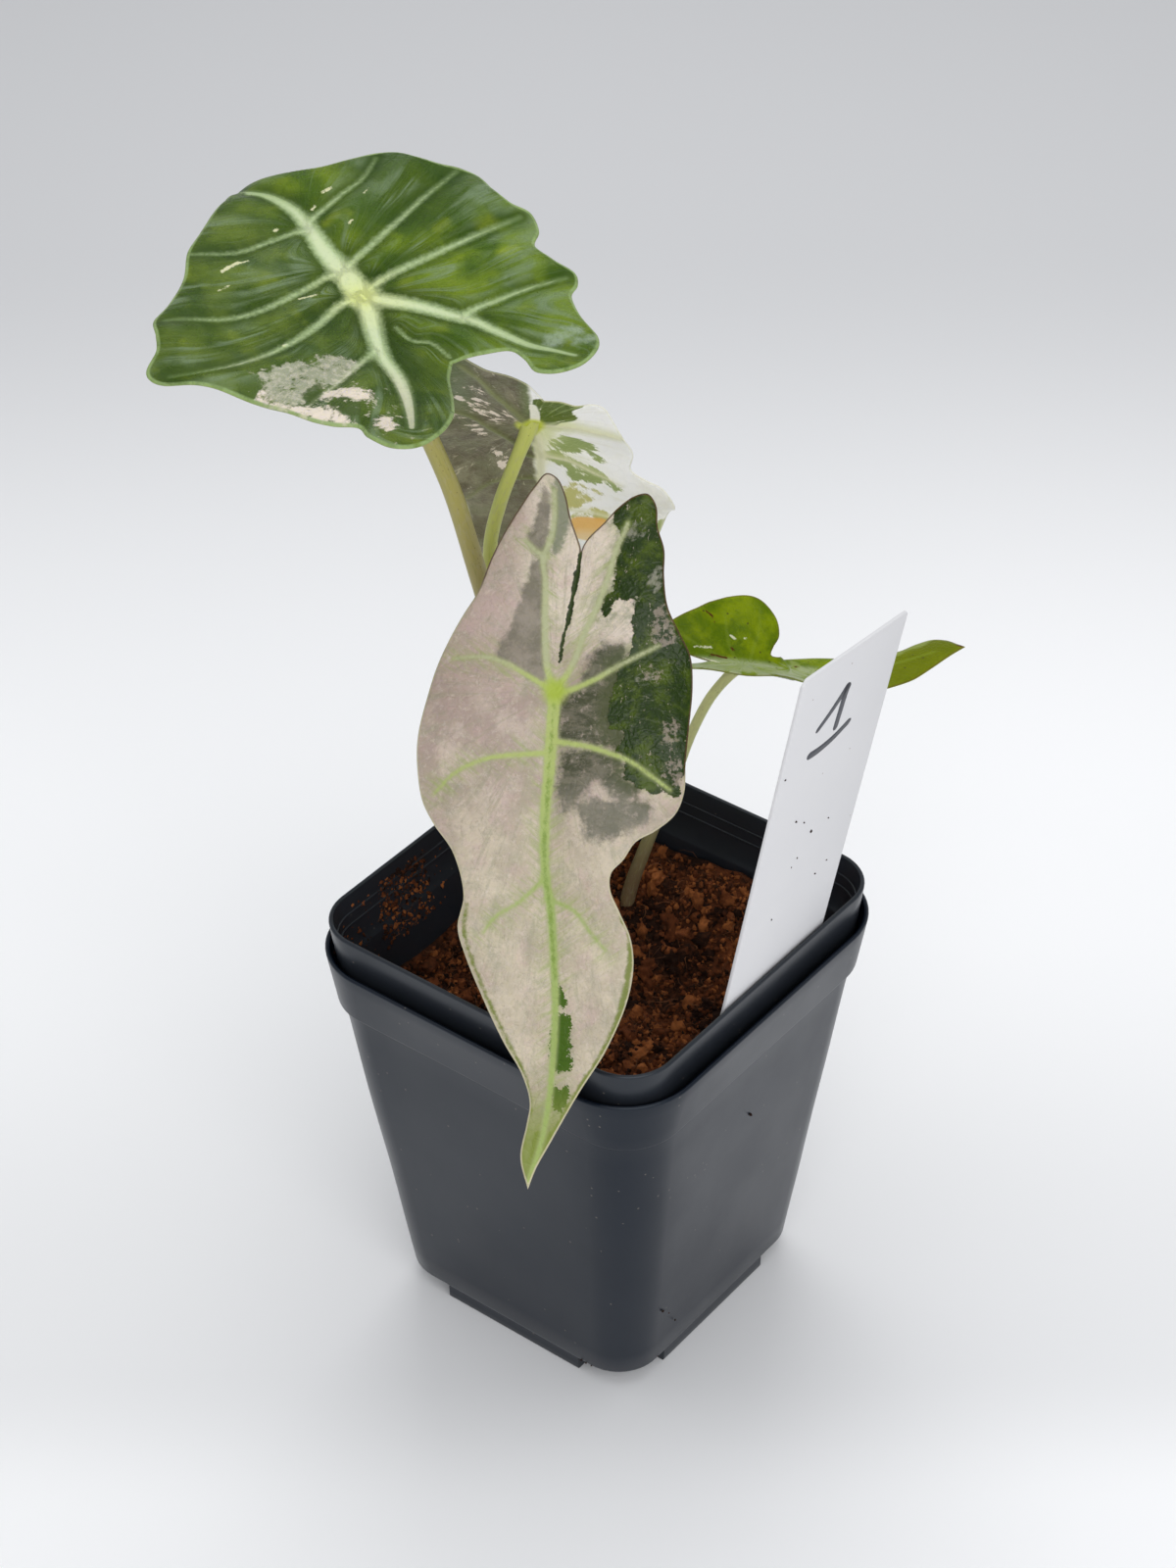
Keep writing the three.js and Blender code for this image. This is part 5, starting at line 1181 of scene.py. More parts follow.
tan = stalk_skin("stalk_tan", (0.37, 0.25, 0.16), (0.38, 0.34, 0.10), (0.24, 0.25, 0.06), 0.3)
green = stalk_skin("stalk_green", (0.40, 0.36, 0.17), (0.54, 0.57, 0.14), (0.40, 0.46, 0.10), 0.12)
# Petiole 4's skin is a lighter copy of the green skin, painted light that lifts the shade it stands in, with
# its own tan-brown foot
lit_green = stalk_skin("stalk_green_lit", (0.22, 0.15, 0.08), (0.70, 0.72, 0.32), (0.46, 0.48, 0.18), 0.2)
SKINS = {
    "petiole_1": (tan, "stalk_tan"),
    "petiole_2": (green, "stalk_green"),
    "petiole_3": (green, "stalk_green"),
    "petiole_4": (lit_green, "stalk_green"),
}


# %% Stalks
STALK_STEP, STALK_SIDES = 1.5, 28
# Within this distance of the blade the stalk spreads by this share
SPREAD_REACH, SPREAD_SHARE = 9, 0.35
# What comes through the blade is laid this far under it, if it is no farther off than the second number
UNDER_BLADE, BLADE_REACH, PASSES = 0.12, 6, 4


def stalk_piece(name, leaf):
    foot, tip, run_on, route = STALKS[name]
    last = np.array(route[-1]) - np.array(route[-2])
    route = smooth_path([*route, np.array(route[-1]) + run_on * last / np.linalg.norm(last)], STALK_STEP)
    piece = make_piece(name + "_stalk", route, [], edges=[(k, k + 1) for k in range(len(route) - 1)])
    skin, slot = SKINS[name]
    mesh = run_tree(piece, stalk_tree, stalk_inputs, {
        "Foot radius": foot * MM, "Tip radius": tip * MM, "Sides": STALK_SIDES, "Skin": skin})
    mesh.shade_smooth()
    points = mesh_points(mesh)
    node = np.array(LEAVES[leaf]["node"])
    near = np.clip(1 - np.linalg.norm(points - node, axis=1) / SPREAD_REACH, 0, 1)
    share = np.empty(len(points))
    mesh.attributes["share_up"].data.foreach_get("value", share)
    centre = np.column_stack([np.interp(share, np.linspace(0, 1, len(route)), axis) for axis in route.T])
    points = centre + (points - centre) * (1 + SPREAD_SHARE * near**2)[:, None]
    tree, bottom, normals = undersides[leaf]
    for index in np.repeat(np.nonzero(near > 0)[0], PASSES):
        _, nearest, gap = tree.find(points[index])
        height = (points[index] - bottom[nearest]) @ normals[nearest] - UNDER_BLADE
        if gap < BLADE_REACH and height > 0:
            points[index] -= height * normals[nearest]
    move_points(mesh, points)
    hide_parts(name)
    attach(piece, "root")
    report(piece)


for number in range(1, 5):
    stalk_piece(f"petiole_{number}", f"leaf_{number}")

# %% [markdown]
# ## Pots
# A nursery pot is blown or pressed from thin dark plastic: a tapering square with round corners, a
# wider collar under the rim and a foot whose corners are cut back. Level rings are lofted into a
# block and a filling, the corners are cut away, and the filling is cut out of the block. The rings
# lie close where an edge is rounded, so the edges catch the light as moulded ones do.

# %% Pot sizes
POT_WALL, POT_FLOOR, FOOT_HEIGHT, COLLAR_HEIGHT = 1.1, 1.2, 5, 14.5
OUTER_POT = {
    "foot": 0, "rim": 106, "arm": 20, "rim_half": 50, "collar_half": 47.4, "wall_half": 46.3,
    "base_half": 35.8, "foot_half": 34.8, "rim_corner": 18, "wall_corner": 14, "base_corner": 11,
}
INNER_POT = {
    "foot": 1.5, "rim": 114, "arm": 18.5, "rim_half": 47.4, "collar_half": 46.2, "wall_half": 45.3,
    "base_half": 34.1, "foot_half": 33.1, "rim_corner": 12, "wall_corner": 12, "base_corner": 10,
}
CORNER_STEPS = 14
SIDE_STEPS = 12
# The four corners of a square, anticlockwise
CORNERS = ((1, 1), (-1, 1), (-1, -1), (1, -1))


def square_ring(half, corner, z):
    """A square with round corners at one height, anticlockwise, with steps along its sides."""
    def on_corner(which, angle):
        sx, sy = CORNERS[which % 4]
        return (sx * (half - corner) + corner * math.cos(angle),
                sy * (half - corner) + corner * math.sin(angle), z)

    ring = []
    for quarter in range(4):
        ring += [on_corner(quarter, math.pi / 2 * (quarter + step / CORNER_STEPS))
                 for step in range(CORNER_STEPS + 1)]
        start = np.array(ring[-1])
        end = np.array(on_corner(quarter + 1, math.pi / 2 * (quarter + 1)))
        ring += [tuple(start + (end - start) * k / SIDE_STEPS) for k in range(1, SIDE_STEPS)]
    return ring


def loft(name, rings):
    """A closed solid through level rings from the bottom up."""
    count = len(rings[0])
    points = [point for ring in rings for point in ring]
    points += [(0, 0, rings[0][0][2]), (0, 0, rings[-1][0][2])]
    faces = []
    for level in range(0, count * (len(rings) - 1), count):
        for k in range(count):
            after = (k + 1) % count
            faces.append((level + k, level + after, level + count + after, level + count + k))
    last = count * (len(rings) - 1)
    for k in range(count):
        after = (k + 1) % count
        faces.append((len(points) - 2, after, k))
        faces.append((len(points) - 1, last + k, last + after))
    return make_piece(name, points, faces)


# %% Pot profiles
def rows_between(low, high, count):
    """Profile rows (half, corner, height) evenly between two rows."""
    return [tuple(a + (b - a) * k / count for a, b in zip(low, high)) for k in range(1, count)]


def outside_profile(pot):
    base, collar, rim = pot["foot"] + FOOT_HEIGHT, pot["rim"] - COLLAR_HEIGHT, pot["rim"]
    low, wall, top = pot["base_corner"], pot["wall_corner"], pot["rim_corner"]
    foot_row = (pot["foot_half"], low, base - 0.5)
    wall_low, wall_high = (pot["base_half"], low, base + 0.5), (pot["wall_half"] - 0.05, wall, collar - 1.4)
    collar_low, collar_high = (pot["collar_half"], wall, collar + 0.25), (pot["rim_half"], top, rim - 0.7)
    return [
        (pot["foot_half"] - 0.7, low, pot["foot"]), (pot["foot_half"] - 0.25, low, pot["foot"] + 0.2),
        (pot["foot_half"] - 0.1, low, pot["foot"] + 0.6), *rows_between(
            (pot["foot_half"] - 0.1, low, pot["foot"] + 0.6), foot_row, 3), foot_row,
        (pot["foot_half"] + 0.1, low, base - 0.15), (pot["base_half"] - 0.25, low, base + 0.02), wall_low,
        *rows_between(wall_low, wall_high, 14), wall_high,
        (pot["wall_half"] + 0.05, wall, collar - 0.9), (pot["wall_half"] + 0.25, wall, collar - 0.55),
        (pot["collar_half"] - 0.3, wall, collar - 0.3), (pot["collar_half"] - 0.06, wall, collar - 0.05),
        collar_low, *rows_between(collar_low, collar_high, 4), collar_high,
        (pot["rim_half"], top, rim - 0.45), (pot["rim_half"] - 0.12, top, rim - 0.16),
        (pot["rim_half"] - 0.4, top, rim),
    ]


def inside_profile(pot):
    base, collar, rim = pot["foot"] + FOOT_HEIGHT, pot["rim"] - COLLAR_HEIGHT, pot["rim"]
    low, wall, top = (pot[key] - POT_WALL for key in ("base_corner", "wall_corner", "rim_corner"))
    foot_half, base_half, wall_half, collar_half, rim_half = (
        pot[key] - POT_WALL for key in ("foot_half", "base_half", "wall_half", "collar_half", "rim_half"))
    wall_low, wall_high = (base_half, low, base + POT_FLOOR), (wall_half, wall, collar - 1)
    rows = [(foot_half, low, pot["foot"] + POT_FLOOR), wall_low, *rows_between(wall_low, wall_high, 10),
            wall_high, (wall_half + 0.2, wall, collar - 0.3), (collar_half, wall, collar + 0.6)]
    # Fine ribs run round the inside of the collar
    for drop in (8, 5):
        share = drop / COLLAR_HEIGHT
        half, corner = rim_half + (collar_half - rim_half) * share, top + (wall - top) * share
        rows += [(half, corner, rim - drop - 0.3), (half - 0.2, corner, rim - drop - 0.1),
                 (half - 0.2, corner, rim - drop + 0.1), (half, corner, rim - drop + 0.3)]
    rows += [(rim_half, top, rim - 0.5), (rim_half + 0.1, top, rim - 0.2), (rim_half + 0.5, top, rim + 0.02),
             (rim_half + 0.6, top, rim + 1)]
    return rows


def prism(name, outline, bottom, top):
    """An upright block on an anticlockwise outline."""
    points = [(x, y, z) for z in (bottom, top) for x, y in outline]
    return make_piece(name, points, prism_faces(len(outline)))


def corner_blocks(pot, arm, bottom, top):
    """Four blocks outside the cross of the foot, with rounded inner corners."""
    far, radius, blocks = pot["rim_half"] + arm, 2, []
    outline = [(arm, far)]
    outline += [(arm + radius * (1 - math.cos(a)), arm + radius * (1 - math.sin(a)))
                for a in np.linspace(0, math.pi / 2, 6)]
    outline += [(far, arm), (far, far)]
    for sx, sy in CORNERS:
        ring = [(sx * x, sy * y) for x, y in outline]
        if sx * sy < 0:
            ring.reverse()
        blocks.append(prism("corner_block", ring, bottom, top))
    return blocks


def carve(piece, cutters):
    """Cuts pieces away from a piece and deletes them."""
    for cutter in cutters:
        cut = piece.modifiers.new("cut", "BOOLEAN")
        cut.operation, cut.solver, cut.object = "DIFFERENCE", "MANIFOLD", cutter
    finished_mesh(piece)
    delete(*cutters)


# %% Pots
SLOT_HALF_WIDTH, SLOT_HALF_DEPTH, SLOT_HEIGHT, SLOT_PLACE = 2.5, 1.65, 2.6, 25
# Heights over which the plastic's waves grow from nothing above the foot and die away below the rim,
# and the size of a wave
WAVE_IN, WAVE_OUT, WAVE_SIZE = 12, 8, 26


def drain_slots(pot):
    across, bottom = pot["arm"] - POT_WALL / 2, pot["foot"] + POT_FLOOR
    slots = []
    for sx, sy in CORNERS:
        for x, y, wide, deep in ((sx * across, sy * SLOT_PLACE, SLOT_HALF_DEPTH, SLOT_HALF_WIDTH),
                                 (sx * SLOT_PLACE, sy * across, SLOT_HALF_WIDTH, SLOT_HALF_DEPTH)):
            outline = [(x - wide, y - deep), (x + wide, y - deep),
                       (x + wide, y + deep), (x - wide, y + deep)]
            slots.append(prism("drain_slot", outline, bottom, bottom + SLOT_HEIGHT))
    return slots


def pot_piece(node, pot, waviness):
    base = pot["foot"] + FOOT_HEIGHT
    block = loft(node + "_shell", [square_ring(*row) for row in outside_profile(pot)])
    carve(block, corner_blocks(pot, pot["arm"], pot["foot"] - 1, base))
    filling = loft("filling", [square_ring(*row) for row in inside_profile(pot)])
    carve(filling, corner_blocks(pot, pot["arm"] - POT_WALL, pot["foot"] - 1, base + POT_FLOOR))
    carve(block, [filling, *drain_slots(pot)])
    # Thin plastic is never quite flat
    points = mesh_points(block.data)
    for index, point in enumerate(points):
        above, below = (point[2] - base) / WAVE_IN, (pot["rim"] - 1 - point[2]) / WAVE_OUT
        free = min(1, max(0, above)) * min(1, max(0, below))
        if free > 0:
            out = Vector((point[0], point[1], 0)).normalized()
            bulge = waviness * free * noise.noise(Vector(point) / WAVE_SIZE)
            points[index] += np.array(out) * (bulge - waviness * 0.5 * free)
    move_points(block.data, points)
    block.data.set_sharp_from_angle(angle=math.radians(38))
    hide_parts(node)
    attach(block, "root")
    report(block)
    return block


outer_pot = pot_piece("outer_pot", OUTER_POT, 0.25)
inner_pot = pot_piece("inner_pot", INNER_POT, 0.2)


# %% Pot plastic
def pot_plastic(name, ground, roughness):
    """Dark satin plastic with faint moulding marks, scuffs and dust, with painted light round the foot."""
    plastic = Finish(name, Roughness=roughness, Specular_IOR_Level=0.35,
                     Specular_Tint=(0.84, 0.92, 1.0, 1.0), Coat_IOR=1.4, Coat_Roughness=roughness)
    place = plastic.place()
    cloud = plastic.noise(place, 0.035, 4.0, 0.6)
    plastic.colour = plastic.mix(tuple(0.8 * c for c in ground), tuple(1.25 * c for c in ground), cloud)
    scuff = plastic.noise(plastic.scaled(place, 1, 1, 0.25), 0.8, 6.0, 0.7)
    plastic.lay((0.09, 0.09, 0.09), plastic.step(scuff, 0.68, 0.8, 0.4))
    height = plastic.axis(place, 2)
    # Below 5 mm the plastic is painted one grey, paler than the outer pot's: painted light that lifts the
    # outer pot's foot out of the shaded floor it reflects
    plastic.lay((0.012, 0.015, 0.022), plastic.step(height, 5.2, 4.6))
    # A pale line round the top of the foot is a painted highlight
    foot_highlight = plastic.times(plastic.step(height, 4.3, 4.9), plastic.step(height, 5.9, 5.2))
    plastic.lay((0.14, 0.15, 0.17), plastic.times(foot_highlight, 0.3))
    dust = plastic.speckle(place, 0.35, 0.09, 0.35)
    plastic.lay((0.16, 0.14, 0.12), plastic.times(dust, 0.6))
    # The flat sides are shinier than the corners
    spot = [plastic.math("ABSOLUTE", plastic.axis(place, which)) for which in (0, 1)]
    plastic.set("Coat Weight", plastic.step(plastic.plus(*spot), 84.0, 62.0, 0.25))
    smear = plastic.noise(place, 0.05, 5.0, 0.6)
    rough, smooth = roughness + 0.04, roughness - 0.03
    plastic.set("Roughness", plastic.step(smear, 0.3, 0.72, to_high=rough, to_low=smooth))
    plastic.bump(plastic.noise(place, 2.2, 3.0), 0.12, 0.06)
    return plastic.finish()


for pot, name, ground, gloss in (
        (outer_pot, "outer_pot_plastic", (0.002, 0.005, 0.012), 0.32),
        (inner_pot, "inner_pot_plastic", (0.017, 0.020, 0.026), 0.31)):
    pot.data.materials.clear()
    pot.data.materials.append(pot_plastic(name, ground, gloss))

# %% [markdown]
# ## Potting mix
# The mix is chopped coir: a lumpy bed of reddish crumbs with deep gaps and loose fibres. A bed with
# the same heaps as the solid gives the form, and Geometry Nodes scatter crumbs and fibres over it.

# %% The bed
MIX_LEVEL, MIX_SEED, WALL_GAP = 87, 5, 0.35
# Above this height the bed is open to view, and crumbs lie on it
BED_OPEN = 80.5
# Each heap's place, its spread and its rise
HEAPS = [(12, 41, 15, 12), (-14, 44, 12, 6), (-14, 18, 11, 3), (12, 12, 12, -4), (32, -22, 14, 4),
         (-38, -38, 16, -3)]


def scatter(i, j, seed):
    wave = np.sin(i * 127.1 + j * 311.7 + seed * 74.7) * 43758.5453
    return wave - np.floor(wave)


def lumps(x, y, size, seed):
    px, py = x / size, y / size
    i, j = np.floor(px), np.floor(py)
    s, t = ((f**2) * (3 - 2 * f) for f in (px - i, py - j))
    near = scatter(i, j, seed) * (1 - s) + scatter(i + 1, j, seed) * s
    far = scatter(i, j + 1, seed) * (1 - s) + scatter(i + 1, j + 1, seed) * s
    return 2 * (near * (1 - t) + far * t) - 1


def mix_height(x, y):
    heaps = sum(rise * np.exp(-((x - hx) ** 2 + (y - hy) ** 2) / (2 * spread**2))
                for hx, hy, spread, rise in HEAPS)
    return MIX_LEVEL + 1.5 * lumps(x, y, 8, MIX_SEED) + 1.1 * lumps(x, y, 3.7, MIX_SEED + 1) + heaps


def wall_half(z):
    """Half the inner pot's inside width at a height, and its corner radius."""
    low, high = INNER_POT["foot"] + FOOT_HEIGHT + POT_FLOOR, INNER_POT["rim"] - COLLAR_HEIGHT - 1
    share = np.clip((z - low) / (high - low), 0, 1.2)
    half = INNER_POT["base_half"] + (INNER_POT["wall_half"] - INNER_POT["base_half"]) * share
    corner = INNER_POT["base_corner"] + (INNER_POT["wall_corner"] - INNER_POT["base_corner"]) * share
    return half - POT_WALL - WALL_GAP, corner - POT_WALL


# Heights of the bed's rings below the open part, and the height that sets the open part's width
LOW_RINGS, TOP_RING, RING_COUNT = (9, 30, 60, 80), 88, 62
rings = []
for z in LOW_RINGS:
    half, corner = wall_half(z)
    rings.append(np.array(square_ring(half, corner, z)))
half, corner = wall_half(TOP_RING)
for k in range(RING_COUNT, 0, -1):
    share = k / RING_COUNT
    ring = np.array(square_ring(half * share, corner * share, 0))
    ring[:, 2] = mix_height(ring[:, 0], ring[:, 1])
    rings.append(ring)
bed = loft("coir_bed", rings)
points = mesh_points(bed.data)
for index in np.nonzero(points[:, 2] > BED_OPEN)[0]:
    spot = Vector(points[index])
    clod = noise.cell(spot / 3.1) * 0.5 + noise.noise(spot / 1.7) * 0.8 + noise.noise(spot / 0.8) * 0.35
    points[index][2] += 0.9 * clod - 0.7
move_points(bed.data, points)
report(bed)

# %% Crumbs: a few rough shapes to scatter
CRUMB_SEED = 21
random.seed(CRUMB_SEED)


def crumb_shape(name, cuts, flat):
    """A rough pebble from a cube whose faces are cut, one millimetre in radius."""
    span = np.linspace(-1, 1, cuts + 1)
    points, faces, index = [], [], {}

    def corner_at(spot):
        key = tuple(np.round(spot, 5))
        if key not in index:
            index[key] = len(points)
            points.append(spot / np.linalg.norm(spot))
        return index[key]

    for axis in range(3):
        for side in (-1, 1):
            for a in range(cuts):
                for b in range(cuts):
                    square = [(a, b), (a + 1, b), (a + 1, b + 1), (a, b + 1)][::side]
                    spots = []
                    for p, q in square:
                        spot = np.empty(3)
                        spot[axis], spot[(axis + 1) % 3], spot[(axis + 2) % 3] = side, span[p], span[q]
                        spots.append(corner_at(spot))
                    faces.append(spots)
    points = np.array(points)
    shift = Vector([random.uniform(-50, 50) for _ in range(3)])
    for k, point in enumerate(points):
        jag = abs(noise.noise(Vector(point) * 1.9 + shift)) + 0.4 * noise.noise(Vector(point) * 4.1 + shift)
        points[k] *= 0.6 + 1.1 * jag
    points *= (1, random.uniform(0.7, 1), flat)
    return make_piece(name, points, faces)


def put_away(shape, collection):
    scene.collection.objects.unlink(shape)
    collection.objects.link(shape)


crumb_shapes, clod_shapes, fibre_shapes = (
    bpy.data.collections.new(label) for label in ("crumb_shapes", "clod_shapes", "fibre_shapes"))
for collection in (crumb_shapes, clod_shapes, fibre_shapes):
    scene.collection.children.link(collection)
for collection, cuts in ((crumb_shapes, 2), (clod_shapes, 4)):
    for k in range(7):
        shape = crumb_shape(f"crumb_{cuts}_{k}", cuts, 0.5 + 0.06 * k)
        put_away(shape, collection)


def fibre_shape(name, bend, length):
    """A thin bent hair of coir with four sides."""
    t = np.linspace(0, 1, 8)
    spine = np.column_stack([length * (t - 0.5), bend * np.sin(np.pi * t), 0.3 * bend * np.sin(5 * t)])
    points, faces = [], []
    for k, spot in enumerate(spine):
        size = 0.09 * (1 - 0.7 * abs(2 * t[k] - 1) ** 2)
        points += [spot + np.array((0, size * math.cos(a), size * math.sin(a)))
                   for a in np.arange(4) * math.pi / 2]
        if k:
            base = 4 * (k - 1)
            faces += [(base + s, base + (s + 1) % 4, base + 4 + (s + 1) % 4, base + 4 + s) for s in range(4)]
    faces += [(3, 2, 1, 0), tuple(len(points) - 4 + s for s in range(4))]
    return make_piece(name, points, [tuple(reversed(face)) for face in faces])


for k in range(5):
    shape = fibre_shape(f"fibre_{k}", random.uniform(0.4, 2.2), random.uniform(3.5, 8))
    put_away(shape, fibre_shapes)

# %% A tree that scatters shapes over a surface
strew_tree, strew_inputs, given = new_geometry_tree("strew", {
    "Ground": "Geometry", "Shapes": "Collection", "Per square metre": "Float", "Smallest": "Float",
    "Largest": "Float", "Lift": "Float", "Tip": "Float", "Seed": "Int", "Finish": "Material"}, "Strewn")
strew = Pipes(strew_tree)
dots = strew.node("GeometryNodeDistributePointsOnFaces", {
    "Mesh": given["Ground"], "Density": given["Per square metre"], "Seed": given["Seed"]})
lifted = strew.node("ShaderNodeCombineXYZ", {2: given["Lift"]})
dots = strew.node("GeometryNodeSetPosition", {"Geometry": dots, "Offset": lifted})
shapes = strew.node("GeometryNodeCollectionInfo", {
    "Collection": given["Shapes"], "Separate Children": True, "Reset Children": True})
tip_low = strew.node("ShaderNodeCombineXYZ", {
    0: strew.times(given["Tip"], -1), 1: strew.times(given["Tip"], -1)})
tip_high = strew.node("ShaderNodeCombineXYZ", {0: given["Tip"], 1: given["Tip"], 2: 2 * math.pi})
turned = strew.node("FunctionNodeRandomValue", {0: tip_low, 1: tip_high, 8: given["Seed"]},
                    data_type="FLOAT_VECTOR")
even = strew.node("FunctionNodeRandomValue", {2: 0.0, 3: 1.0, 8: given["Seed"]}, output=1,
                  data_type="FLOAT")
size = strew.node("ShaderNodeMapRange", {
    "Value": strew.math("POWER", even, 1.8), "To Min": given["Smallest"], "To Max": given["Largest"]})
placed = strew.node("GeometryNodeInstanceOnPoints", {
    "Points": dots, "Instance": shapes, "Pick Instance": True, "Rotation": turned, "Scale": size})
TONE_SEED = 77
tone = strew.node("FunctionNodeRandomValue", {2: 0.0, 3: 1.0, 8: TONE_SEED}, output=1, data_type="FLOAT")
placed = strew.store("tone", placed, tone, "INSTANCE")
real = strew.node("GeometryNodeRealizeInstances", {"Geometry": placed})
real = strew.node("GeometryNodeSetMaterial", {"Geometry": real, "Material": given["Finish"]})
strew_tree.links.new(real, strew_tree.nodes.new("NodeGroupOutput").inputs[0])
print("Tree:", strew_tree.name, "with inputs", ", ".join(strew_inputs))

# %% Coir
coir = Finish("coir_mix", Roughness=0.9, Specular_IOR_Level=0.25)
place = coir.place()
tone = coir.plus(coir.attribute("tone"), coir.wobble(coir.noise(place, 0.9, 5.0, 0.7), 0.8))
tone = coir.plus(tone, coir.wobble(coir.noise(place, 0.07, 3.0, 0.6), 1.6))
coir.colour = coir.mix((0.030, 0.010, 0.0045), (0.235, 0.066, 0.020), coir.step(tone, 0.12, 0.62))
coir.lay((0.52, 0.17, 0.048), coir.step(tone, 0.6, 1.0))
thread = coir.noise(coir.scaled(place, 1, 1, 3), 3.0, 4.0, 0.7)
coir.lay((0.27, 0.13, 0.06), coir.step(thread, 0.64, 0.74, 0.6))
coir.bump(coir.noise(place, 2.0, 6.0, 0.8), 1.0, 0.9)
coir.finish()

fibre_brown = Finish("coir_fibre", Roughness=0.7, Specular_IOR_Level=0.3)
fibre_brown.colour = fibre_brown.mix(
    (0.05, 0.016, 0.006), (0.30, 0.12, 0.05), fibre_brown.attribute("tone"))
fibre_brown.finish()
bed.data.materials.append(coir.material)
paint(bed.data, "tone", np.full(len(bed.data.vertices), 0.30))
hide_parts("potting_mix")
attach(bed, "root")


# %% Crumbs and fibres
# Every shape is knocked about a little in its own way: how far, and over what length the knock changes
KNOCK, KNOCK_SIZE = 0.22, 0.8


def strewn_piece(name, ground, shapes, count, sizes, seed, finish, lift=0.0, tip=math.pi):
    """Scatters shapes over some ground and makes the result a plain mesh."""
    piece = put_in(name, ground)
    area = sum(face.area for face in ground.polygons)
    mesh = run_tree(piece, strew_tree, strew_inputs, {
        "Shapes": shapes, "Per square metre": count / area, "Smallest": sizes[0], "Largest": sizes[1],
        "Lift": lift * MM, "Tip": tip, "Seed": seed, "Finish": finish})
    points = mesh_points(mesh)
    x, y, z = points.T
    knock = np.column_stack([lumps(a, b, KNOCK_SIZE, seed + k)
                             for k, (a, b) in enumerate(((x + z, y - z), (y + z, x), (x - z, y + z)))])
    move_points(mesh, points + KNOCK * knock)
    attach(piece, "root")
    report(piece)


def ground_from(mesh, keep):
    """A mesh of only those faces whose middle passes a test."""
    points = mesh_points(mesh)
    faces = [tuple(face.vertices) for face in mesh.polygons if keep(np.array(face.center) / MM)]
    used = sorted({index for face in faces for index in face})
    order = {index: k for k, index in enumerate(used)}
    part = bpy.data.meshes.new("ground")
    part.from_pydata((points[used] * MM).tolist(), [], [tuple(order[i] for i in face) for face in faces])
    return part


# Half the width of the part of the bed that crumbs lie on
STREWN_HALF = 41.5
top = ground_from(bed.data, lambda spot: spot[2] > BED_OPEN and max(abs(spot[:2])) < STREWN_HALF)
strewn_piece("coir_crumbs_small", top, crumb_shapes, 3900, (0.4, 1.2), 3, coir.material, 0.2)
strewn_piece("coir_crumbs_fine", top.copy(), crumb_shapes, 2400, (0.3, 0.8), 4, coir.material, 0.9)
strewn_piece("coir_crumbs_large", top.copy(), clod_shapes, 520, (1.0, 2.8), 8, coir.material, 0.2)
strewn_piece("coir_fibres", top.copy(), fibre_shapes, 1500, (0.25, 1.0), 5, fibre_brown.material, 0.9, 0.7)
# Crumbs that were thrown up stick to the pot's inside, most of them in one clump. The band of wall
# is given by its distance from the pot's middle and its height
WALL_BAND = [(-43.6, 93), (-44.1, 98.4), (-45.0, 100), (-46.1, 111)]
WALL_FACES = [(2 * k, 2 * k + 2, 2 * k + 3, 2 * k + 1) for k in range(len(WALL_BAND) - 1)]
for label, near, far, crumbs, hairs in (("", -42, -2, 110, 20), ("_clump", -25, -8, 420, 150)):
    wall_points = [(x, y, z) for x, z in WALL_BAND for y in (near, far)]
    wall = make_piece("wall_ground", wall_points, WALL_FACES)
    strewn_piece("coir_on_wall" + label, wall.data, crumb_shapes, crumbs, (0.25, 0.9), 11, coir.material)
    strewn_piece("coir_fibres_on_wall" + label, wall.data.copy(), fibre_shapes, hairs, (0.2, 0.6), 12,
                 fibre_brown.material, 0, 0.6)
    delete(wall)
for collection in (crumb_shapes, clod_shapes, fibre_shapes):
    delete(*collection.objects)
    bpy.data.collections.remove(collection)

# %% [markdown]
# ## The plant label
# The label is a plain white plastic plate pushed into the mix, leaning on the pot's rim. Its edges
# are cut, so they are crisp with a slight bevel. The numeral is three strokes of a marker.

# %% Label plate
LABEL = {"half": 19.0, "top_half": 19.95, "above": 88.5, "length": 132, "thick": 0.8, "cut": 6}
LABEL_LEAN_OUT, LABEL_LEAN_SIDE = math.radians(7.85), math.radians(5.96)
label_turn = Matrix.Rotation(LABEL_LEAN_OUT, 3, "Y") @ Matrix.Rotation(-LABEL_LEAN_SIDE, 3, "X")
LABEL_AT_RIM = Vector((45.6, 5.3, 114))


def on_label(points):
    """Puts points of the label's own plane (thickness, width, height) in place."""
    return [tuple(label_turn @ Vector(point) + LABEL_AT_RIM) for point in points]


def plate(name, outline, low, high):
    """A flat closed plate between two planes from an anticlockwise outline."""
    points = [(x, y, z) for x in (low, high) for y, z in outline]
    return make_piece(name, on_label(points), prism_faces(len(outline)))


half, top_half, above = LABEL["half"], LABEL["top_half"], LABEL["above"]
bottom, cut = above - LABEL["length"], LABEL["cut"]
LABEL_FACE = LABEL["thick"] / 2
label = plate("label_plate", [
    (-half + cut, bottom), (half - cut, bottom), (half, bottom + cut), (half, 0),
    (top_half, above - 0.6), (top_half - 0.6, above), (-top_half + 1.4, above),
    (-top_half, above - 1.4), (-half, 0), (-half, bottom + cut)], -LABEL_FACE, LABEL_FACE)
bevel = label.modifiers.new("edge", "BEVEL")
bevel.width, bevel.segments, bevel.limit_method = 0.12 * MM, 2, "ANGLE"
finished_mesh(label)
label.data.set_sharp_from_angle(angle=math.radians(35))
white = Finish("label_plastic", Roughness=0.45, Specular_IOR_Level=0.45)
place = white.place()
white.colour = white.mix((0.65, 0.65, 0.67), (0.69, 0.69, 0.705), white.noise(place, 0.05, 3.0))
